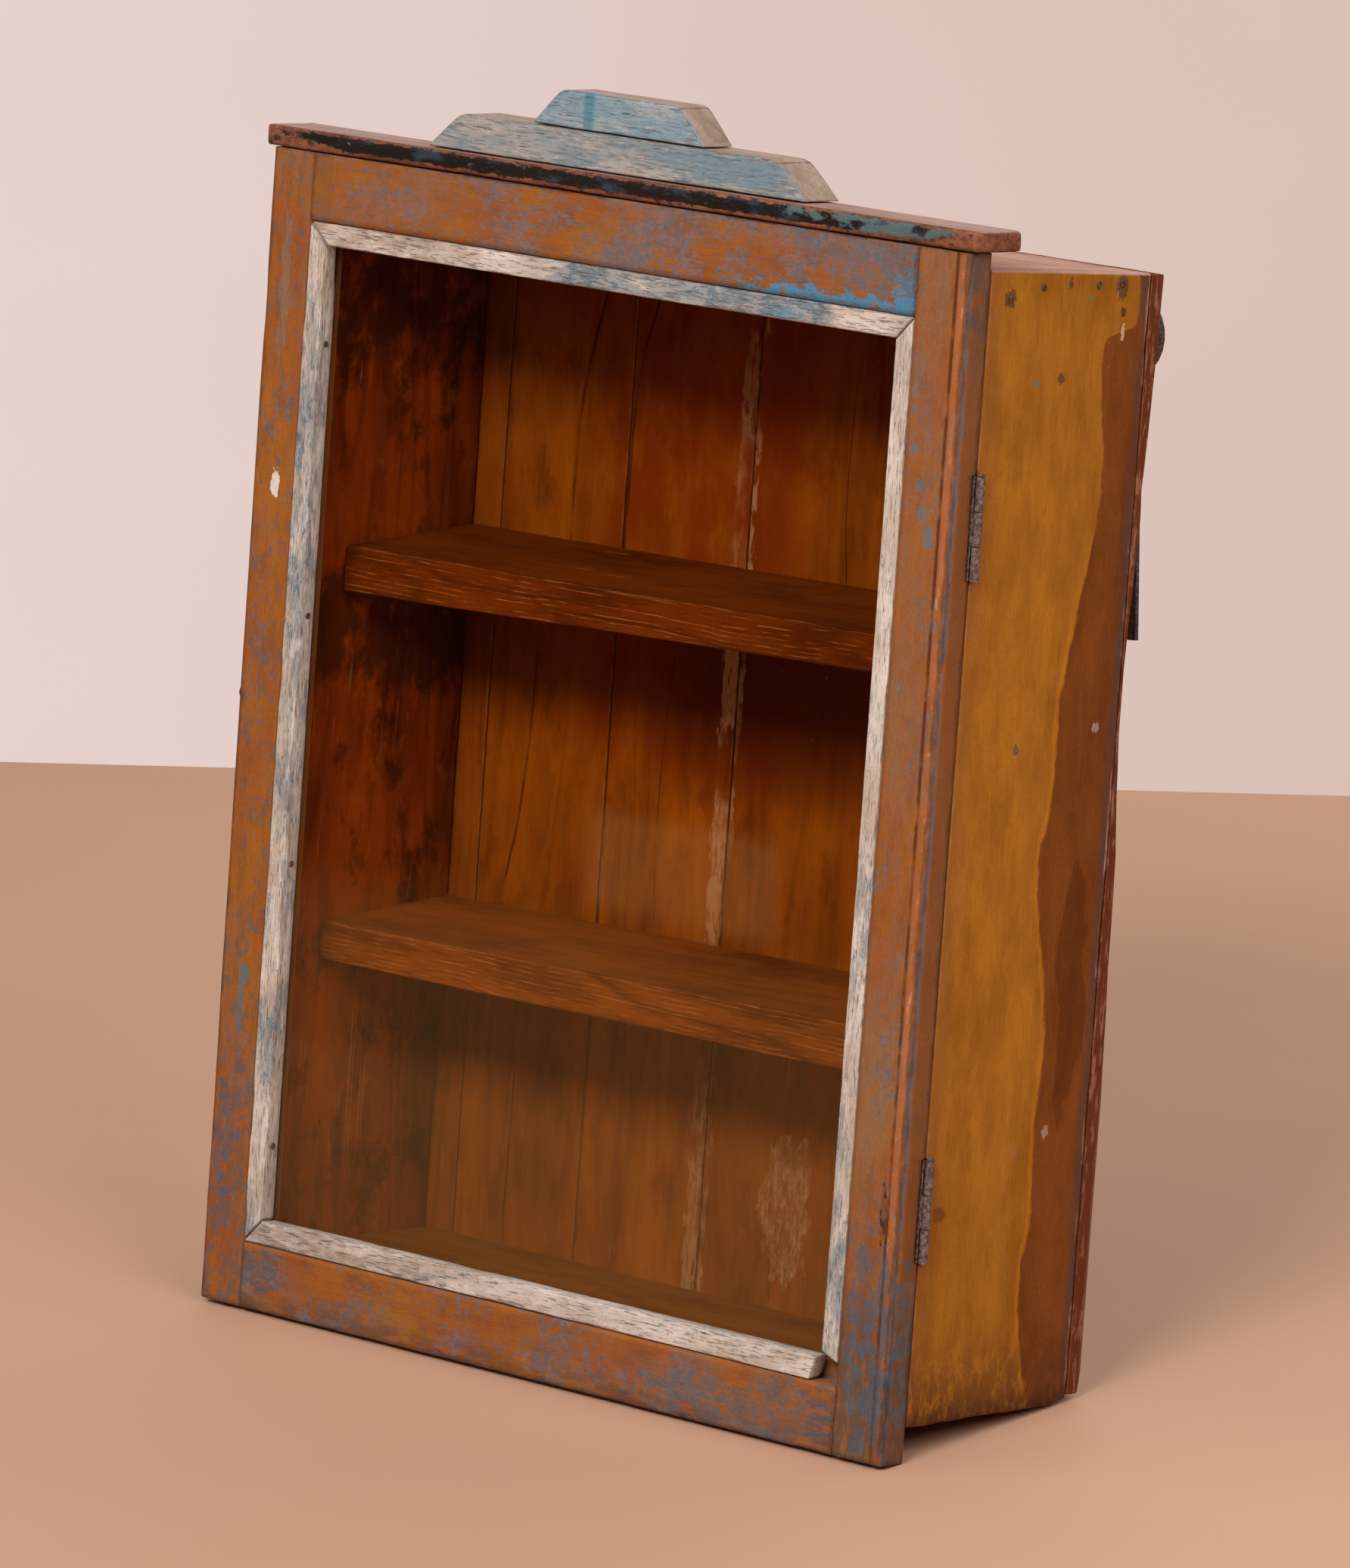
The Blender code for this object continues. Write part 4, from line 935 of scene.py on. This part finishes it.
def build_stiles():
    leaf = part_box("hinge_upper_door_leaf")[0].y - GAP
    stops = [value for bottom, top, _ in leaf_recesses("door") for value in (bottom, top)]

    def left_section(points):
        return squeeze(points, Y, DOOR_BACK, DOOR_FRONT, LIP_FRONT, points[:, X] > OPENING_LEFT)

    groove, half = LEFT + 344.4 * MM, 0.75 * MM

    def right_section(points):
        points = squeeze(points, Y, DOOR_BACK, DOOR_FRONT, LIP_FRONT, points[:, X] < OPENING_RIGHT)
        points = recessed(points, "door", DOOR_FRONT, DOOR_BACK, leaf)
        depth = np.clip(1 - np.abs(points[:, X] - groove) / half, 0, 1) * 1.25 * MM
        front = smooth_step(points[:, Y], DOOR_FRONT + 4 * MM, DOOR_FRONT)
        points[:, Y] += depth * front
        return round_corner(points, (X, RIGHT, 1), (Y, DOOR_FRONT, -1), 3.4 * MM)

    board("stile_left", frame_paint("stile_left_paint", Z, 100, left_stile_marks, -0.07), worn=0.9, chips=0.5,
          seed=1, steps={X: [OPENING_LEFT]}, shape=left_section, flush_top=True)
    groove_lines = [groove - half, groove, groove + half]
    board("stile_right", frame_paint("stile_right_paint", Z, 120, right_stile_marks, -0.04, 0.03), worn=0.6,
          chips=0.3, seed=2, cell=1.8, shape=right_section, flush_top=True,
          steps={X: [OPENING_RIGHT, leaf_recesses("door")[0][2], *groove_lines], Z: stops})


def build_rails():
    ends = (OPENING_LEFT + LIP_W + GAP, OPENING_RIGHT - LIP_W - GAP)
    for node, marks, seed, bias in (("rail_top", top_rail_marks, 140, 0.12),
            ("rail_bottom", bottom_rail_marks, 160, 0.04)):
        low, high = box_of(node)
        low[X], high[X] = OPENING_LEFT + GAP, OPENING_RIGHT - GAP
        at_top = node == "rail_top"
        inner = OPENING_TOP if at_top else OPENING_BOTTOM

        def section(points, at_top=at_top, inner=inner):
            lip = points[:, Z] < inner if at_top else points[:, Z] > inner
            points = squeeze(points, Y, DOOR_BACK, DOOR_FRONT, LIP_FRONT, lip)
            notch = (points[:, X] < ends[0]) | (points[:, X] > ends[1])
            return squeeze(points, Y, DOOR_FRONT, DOOR_BACK, LIP_FRONT - GAP, notch & ~lip)

        board(node, frame_paint(f"{node}_paint", X, seed, marks, bias), worn=0.8, chips=0.5, seed=seed,
              steps={X: ends, Z: [inner]}, shape=section, low=low, high=high, flush_top=at_top)


def build_beads():
    """The beads, with an open mitre at the top left."""
    for number, (node, axis, blue) in enumerate((
            ("bead_left", Z, -0.02), ("bead_right", Z, -0.03), ("bead_top", X, 0.02),
                    ("bead_bottom", X, -0.13))):
        corners = corners_of(node)
        if node == "bead_top":
            corners[0, :, 0, X] += 1.1 * MM
            corners[0, :, 1, X] += 0.5 * MM
        board(node, bead_paint(f"{node}_paint", axis, 200 + 10 * number, blue), worn=0.7, chips=0.9,
              rough=0.25, cell=1.4, seed=20 + number, corners=corners)


def build_cornice():
    """The board over the door, its front edge chipped along its lower arris and rounded at its ends."""
    low, high = box_of("cornice_board")

    def shape(points):
        lower = smooth_step(points[:, Z], low[Z] + 3.5 * MM, low[Z])
        front = smooth_step(points[:, Y], low[Y] + 4 * MM, low[Y])
        bite = smooth_step(value_noise(points, np.array([16, 30, 30]) * MM, 31), -0.1, 0.7)
        bite += 0.5 * smooth_step(value_noise(points, np.array([5, 30, 30]) * MM, 32), 0.1, 0.8)
        points[:, Y] += lower * front * bite * 1.3 * MM
        for side, face in ((-1, low[X]), (1, high[X])):
            points = round_corner(points, (X, face, side), (Y, low[Y], -1), 2.6 * MM)
        return points

    board("cornice_board", cornice_paint(), worn=1.7, chips=0.6, rough=0.25, cell=1.8, seed=30,
          shape=shape)


def build_pediment():
    for number, (node, material, radius) in enumerate((
            ("pediment_lower", lower_pediment(), 4.0 * MM), ("pediment_upper", upper_pediment(), 3.5 * MM))):
        low, high = box_of(node)
        corners = corners_of(node)
        for side in (0, 1):
            corners[side, :, 1, Z] = high[Z]

        def round_top(points, low=low, high=high, radius=radius):
            for side, face in ((-1, low[X]), (1, high[X])):
                points = round_corner(points, (X, face, side), (Z, high[Z], 1), radius)
            return points

        board(node, material, worn=0.8, chips=0.6, rough=0.25, cell=1.6, seed=40 + number,
              shape=round_top, corners=corners)


# ---- Pieces of the carcass

def build_sides():
    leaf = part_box("hinge_upper_carcass_leaf")[1].y + GAP
    stops = [value for bottom, top, _ in leaf_recesses("carcass") for value in (bottom, top)]
    for node, outside, seed in (("side_left", LEFT, 300), ("side_right", RIGHT, 320)):
        low, high = box_of(node)
        corners = corners_of(node)
        corners[:, 1, 0, Z] = low[Z]
        right = node == "side_right"

        def section(points, low=low, high=high, right=right):
            if right:
                points = recessed(points, "carcass", high[Y], low[Y], leaf)
            heel = smooth_step(points[:, Y], high[Y] - 9 * MM, high[Y]) * smooth_step(points[:, Z],
                    low[Z] + 12 * MM, low[Z])
            points[:, Z] += heel * 2.2 * MM
            wave = 0.5 + 0.5 * value_noise(points, 16 * MM * np.array([4, 1, 4]), 33)
            points[:, Z] += smooth_step(points[:, Z], low[Z] + 9 * MM, low[Z]) * np.clip(wave, 0,
                    1) * 1.5 * MM
            return points

        board(node, side_material(f"{node}_paint", seed, outside), worn=0.9, chips=0.7, rough=0.25,
              seed=seed, cell=2.4, shape=section, corners=corners,
              steps={X: [leaf_recesses("carcass")[0][2]], Z: stops} if right else None)


# How far the back's right arris is worn away, by height above the door's lower edge, in millimetres
ARRIS_WEAR = ((15, 1.3), (25, 0.1), (128, 0.1), (151, 0.9), (197, 1.9), (219, 2.3), (242, 4.6), (265, 6.0),
              (290, 6.0),
              (343, 3.1), (355, 3.6), (377, 2.3), (399, 1.5), (433, 0.2))


# Cracks in three of the planks: points of height and distance from the door's left, then half the line's
# width
CRACKS = (
    [(((292, 72), (333, 71.4), (353, 72.6), (368, 75.2), (412, 86)), 0.8),
     (((164, 49), (190, 54), (222, 57), (268, 58)), 0.6), (((30, 60), (80, 61), (132, 60)), 0.4)],
    [(((292, 99), (324, 99.5), (365, 101), (395, 108), (412, 113)), 0.7),
     (((30, 99), (72, 99), (196, 99)), 0.6),
     (((160, 128), (200, 126), (262, 129)), 0.3)],
    [(((26, 200), (70, 197), (132, 202)), 0.35), (((292, 214), (350, 210), (412, 216)), 0.3)])


def build_back():
    """The back planks: cracked, with the right arris of the last one worn away."""
    heights, depths = (np.array(values) * MM for values in zip(*ARRIS_WEAR))

    def worn_arris(points):
        wear = np.interp(points[:, Z], heights, depths)
        near = smooth_step(points[:, X], RIGHT - 13 * MM, RIGHT - 1 * MM)
        rear = smooth_step(points[:, Y], DOOR_FRONT + 103 * MM, DOOR_FRONT + 110.5 * MM)
        points[:, Y] -= wear * near * rear
        return points

    marks = {
        1: plank_marks([]), 2: plank_marks(CRACKS[0]), 3: plank_marks(CRACKS[1], putty=158),
        4: plank_marks(CRACKS[2], putty=161), 5: plank_marks([])}
    tones = {1: (150, 72, 12), 2: (158, 78, 10), 3: (164, 82, 10), 4: (150, 74, 12), 5: (146, 72, 12)}
    for number in range(1, 6):
        node = f"back_plank_{number}"
        material = interior_wood(f"{node}_wood", Z, 400 + 20 * number, tones[number], INSIDE_DARK,
                                 marks[number])
        board(node, material, worn=0.6, chips=0.4, rough=0.3, seed=50 + number, cell=2.6,
              shape=worn_arris if number == 5 else None)


def build_shelves():
    for number, (node, tone) in enumerate((("shelf_upper", (112, 44, 6)), ("shelf_lower", (138, 66, 12)))):
        light, dark = ((118, 52, 6), (70, 25, 2)) if number == 0 else ((140, 68, 14), (88, 38, 6))
        material = interior_wood(f"{node}_wood", X, 520 + 20 * number, light, dark, shelf_marks(node, tone))
        board(node, material, worn=1.5, chips=0.5, rough=0.3, seed=60 + number, cell=2.4,
              corners=corners_of(node))


def build_ends():
    """The floor and top boards. The top's upper face is pale with dust."""

    def dusty(f, colour):
        pale, _ = bare_wood(f, X, (196, 156, 140), (146, 98, 78))
        top_face = f.band(f.z - f.y * TOP_SLOPE, 435.4 * MM, 436.4 * MM)
        return f.mix(top_face * 0.9, colour, pale)
    board("top_board", interior_wood("top_board_wood", X, 560, extra=dusty), worn=0.6, chips=0.3,
          rough=0.25, seed=70, cell=2.8, corners=corners_of("top_board"))
    board("floor_board", interior_wood("floor_board_wood", X, 580, (136, 72, 16)), worn=0.6, chips=0.3,
          rough=0.25, seed=71, cell=2.8)


# ---- Glass and iron

def dress_frame_nodes():
    """Materials and softened edges for the CAD nodes whose shape stays."""
    iron = iron_material("rusty_iron_hinge", 600)
    nail = iron_material("rusty_iron_nail", 620, (110, 74, 56), (62, 44, 40))
    plate = iron_material("dark_iron_plate", 640, (88, 72, 68), (50, 42, 44))
    for name, obj in NODES.items():
        if obj.hide_render:
            continue
        obj.data.materials.clear()
        if name == "glass_pane":
            obj.data.materials.append(glass_material())
            continue
        small = "nail" in name or "screw" in name or name == "latch_pin"
        obj.data.materials.append(nail if small else iron if "hinge" in name else plate)
        soft = obj.modifiers.new("soft_edges", "BEVEL")
        soft.width = 0.12 * MM if small else 0.3 * MM
        soft.segments = 2
        soft.limit_method = "ANGLE"
        soft.angle_limit = math.radians(40)


# ---- Stage, light and camera

FLOOR_TAN = srgb(*(196, 155, 128))


def floor_material(speckle=0.035):
    f = Finish("stage_floor_tan", 700, X)
    tone = f.noise(120, 2, 4, 0.6)
    shade = 1 - speckle + tone * (2 * speckle)
    return f.finish(f.shade(FLOOR_TAN, shade), 0.6, specular=0.2)


def glowing_wall():
    """A pale wall far behind that lights itself, a little darker to the right and low down."""
    f = Finish("stage_wall_pale", 720, X)
    tone = f.noise(700, 1.5, 3, 0.5)
    share = f.band(f.x, -6.4, -3.6) + (tone - 0.5) * 0.5
    colour = f.mix(share, (235, 214, 211), (216, 190, 179))
    f.feed(f.shader.inputs["Emission Color"], colour)
    f.shader.inputs["Emission Strength"].default_value = 1.0
    return f.finish((0, 0, 0, 1), 1.0, specular=0.0)


def stage_plane(name, corners, material):
    mesh = bpy.data.meshes.new(name)
    mesh.from_pydata([tuple(corner) for corner in corners], [], [(0, 1, 2, 3)])
    mesh.materials.append(material)
    obj = bpy.data.objects.new(name, mesh)
    bpy.context.scene.collection.objects.link(obj)


WALL_TURN = 30.0                # of the wall behind the cabinet, about the floor's normal, in degrees


def build_stage():
    """The floor that the cabinet leans back on: it touches the door's rear lower edge and the sides'
    heels."""
    foot_y, heel_y, heel_z = DOOR_BACK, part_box("side_right")[1].y - 8 * MM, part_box("floor_board")[0].z
    lean = math.atan2(heel_z, heel_y - foot_y)
    level = Matrix.Translation((0, foot_y, 0)) @ Matrix.Rotation(lean, 4, "X")
    turned = level @ Matrix.Rotation(math.radians(WALL_TURN), 4, "Z")
    left, right, far, near = -8.0, 6.0, 0.874, -9.0
    floor = ((left, near, 0), (right, near, 0), (right, far, 0), (left, far, 0))
    stage_plane("stage_floor", [turned @ Vector(c) for c in floor], floor_material())
    left, right, far, down, up = -20.0, 9.0, 7.0, -6.0, 4.5
    wall = ((left, far, down), (right, far, down), (right, far, up), (left, far, up))
    stage_plane("stage_wall", [turned @ Vector(c) for c in wall], glowing_wall())
    return level


ROOM_LIGHT = srgb(*(240, 226, 218))


def area_light(name, level, azimuth, elevation, distance, size, power, colour, target=(0, 0, 0.22)):
    """A soft light at an angle round the cabinet, in the floor's frame. Azimuth 0 is in front, 90 at the
    right."""
    light = bpy.data.lights.new(name, "AREA")
    light.shape = "RECTANGLE"
    light.size, light.size_y = size
    light.energy = power
    light.color = colour
    obj = bpy.data.objects.new(name, light)
    a, e = math.radians(azimuth), math.radians(elevation)
    back = Vector((math.sin(a) * math.cos(e), -math.cos(a) * math.cos(e), math.sin(e)))
    obj.matrix_world = level @ Matrix.Translation(Vector(target) + back * distance) @ (
        (-back).to_track_quat("-Z", "Y").to_matrix().to_4x4())
    bpy.context.scene.collection.objects.link(obj)


def build_light(level):
    """Soft light from the upper front and both sides, some light back from the wall, and a dim room."""
    area_light("key", level, 14, 42, 3.0, (1.4, 0.7), 63, (1.0, 0.98, 0.96))
    area_light("right_fill", level, 84, 38, 2.6, (1.6, 1.6), 30, (1.0, 0.97, 0.95))
    area_light("left_fill", level, -50, 42, 2.8, (1.6, 1.6), 12, (1.0, 0.97, 0.95))
    area_light("wall_bounce", level, 176, 34, 2.0, (3.0, 1.4), 13, (1.0, 0.94, 0.91))
    world = bpy.data.worlds.new("room")
    world.use_nodes = True
    background = world.node_tree.nodes["Background"]
    background.inputs["Color"].default_value = ROOM_LIGHT
    background.inputs["Strength"].default_value = 0.26
    bpy.context.scene.world = world


def build_camera():
    """A long lens, turned to the right of the front and slightly above it, and rolled a little."""
    camera = bpy.data.cameras.new("camera")
    camera.sensor_width = 36.0
    camera.lens = 259.16
    camera.clip_end = 50.0
    obj = bpy.data.objects.new("camera", camera)
    place = row(2974.8, -3067.6, 829.07)
    turn = (Matrix.Rotation(math.radians(41.861), 4, "Z") @ Matrix.Rotation(math.radians(90 - 8.2227), 4, "X")
            @ Matrix.Rotation(math.radians(4.0605), 4, "Z"))
    obj.matrix_world = Matrix.Translation(place) @ turn
    bpy.context.scene.collection.objects.link(obj)
    bpy.context.scene.camera = obj


build_stiles()
build_rails()
build_beads()
build_cornice()
build_pediment()
build_sides()
build_back()
build_shelves()
build_ends()
dress_frame_nodes()
build_light(build_stage())
build_camera()
bpy.context.scene.view_settings.view_transform = "Standard"
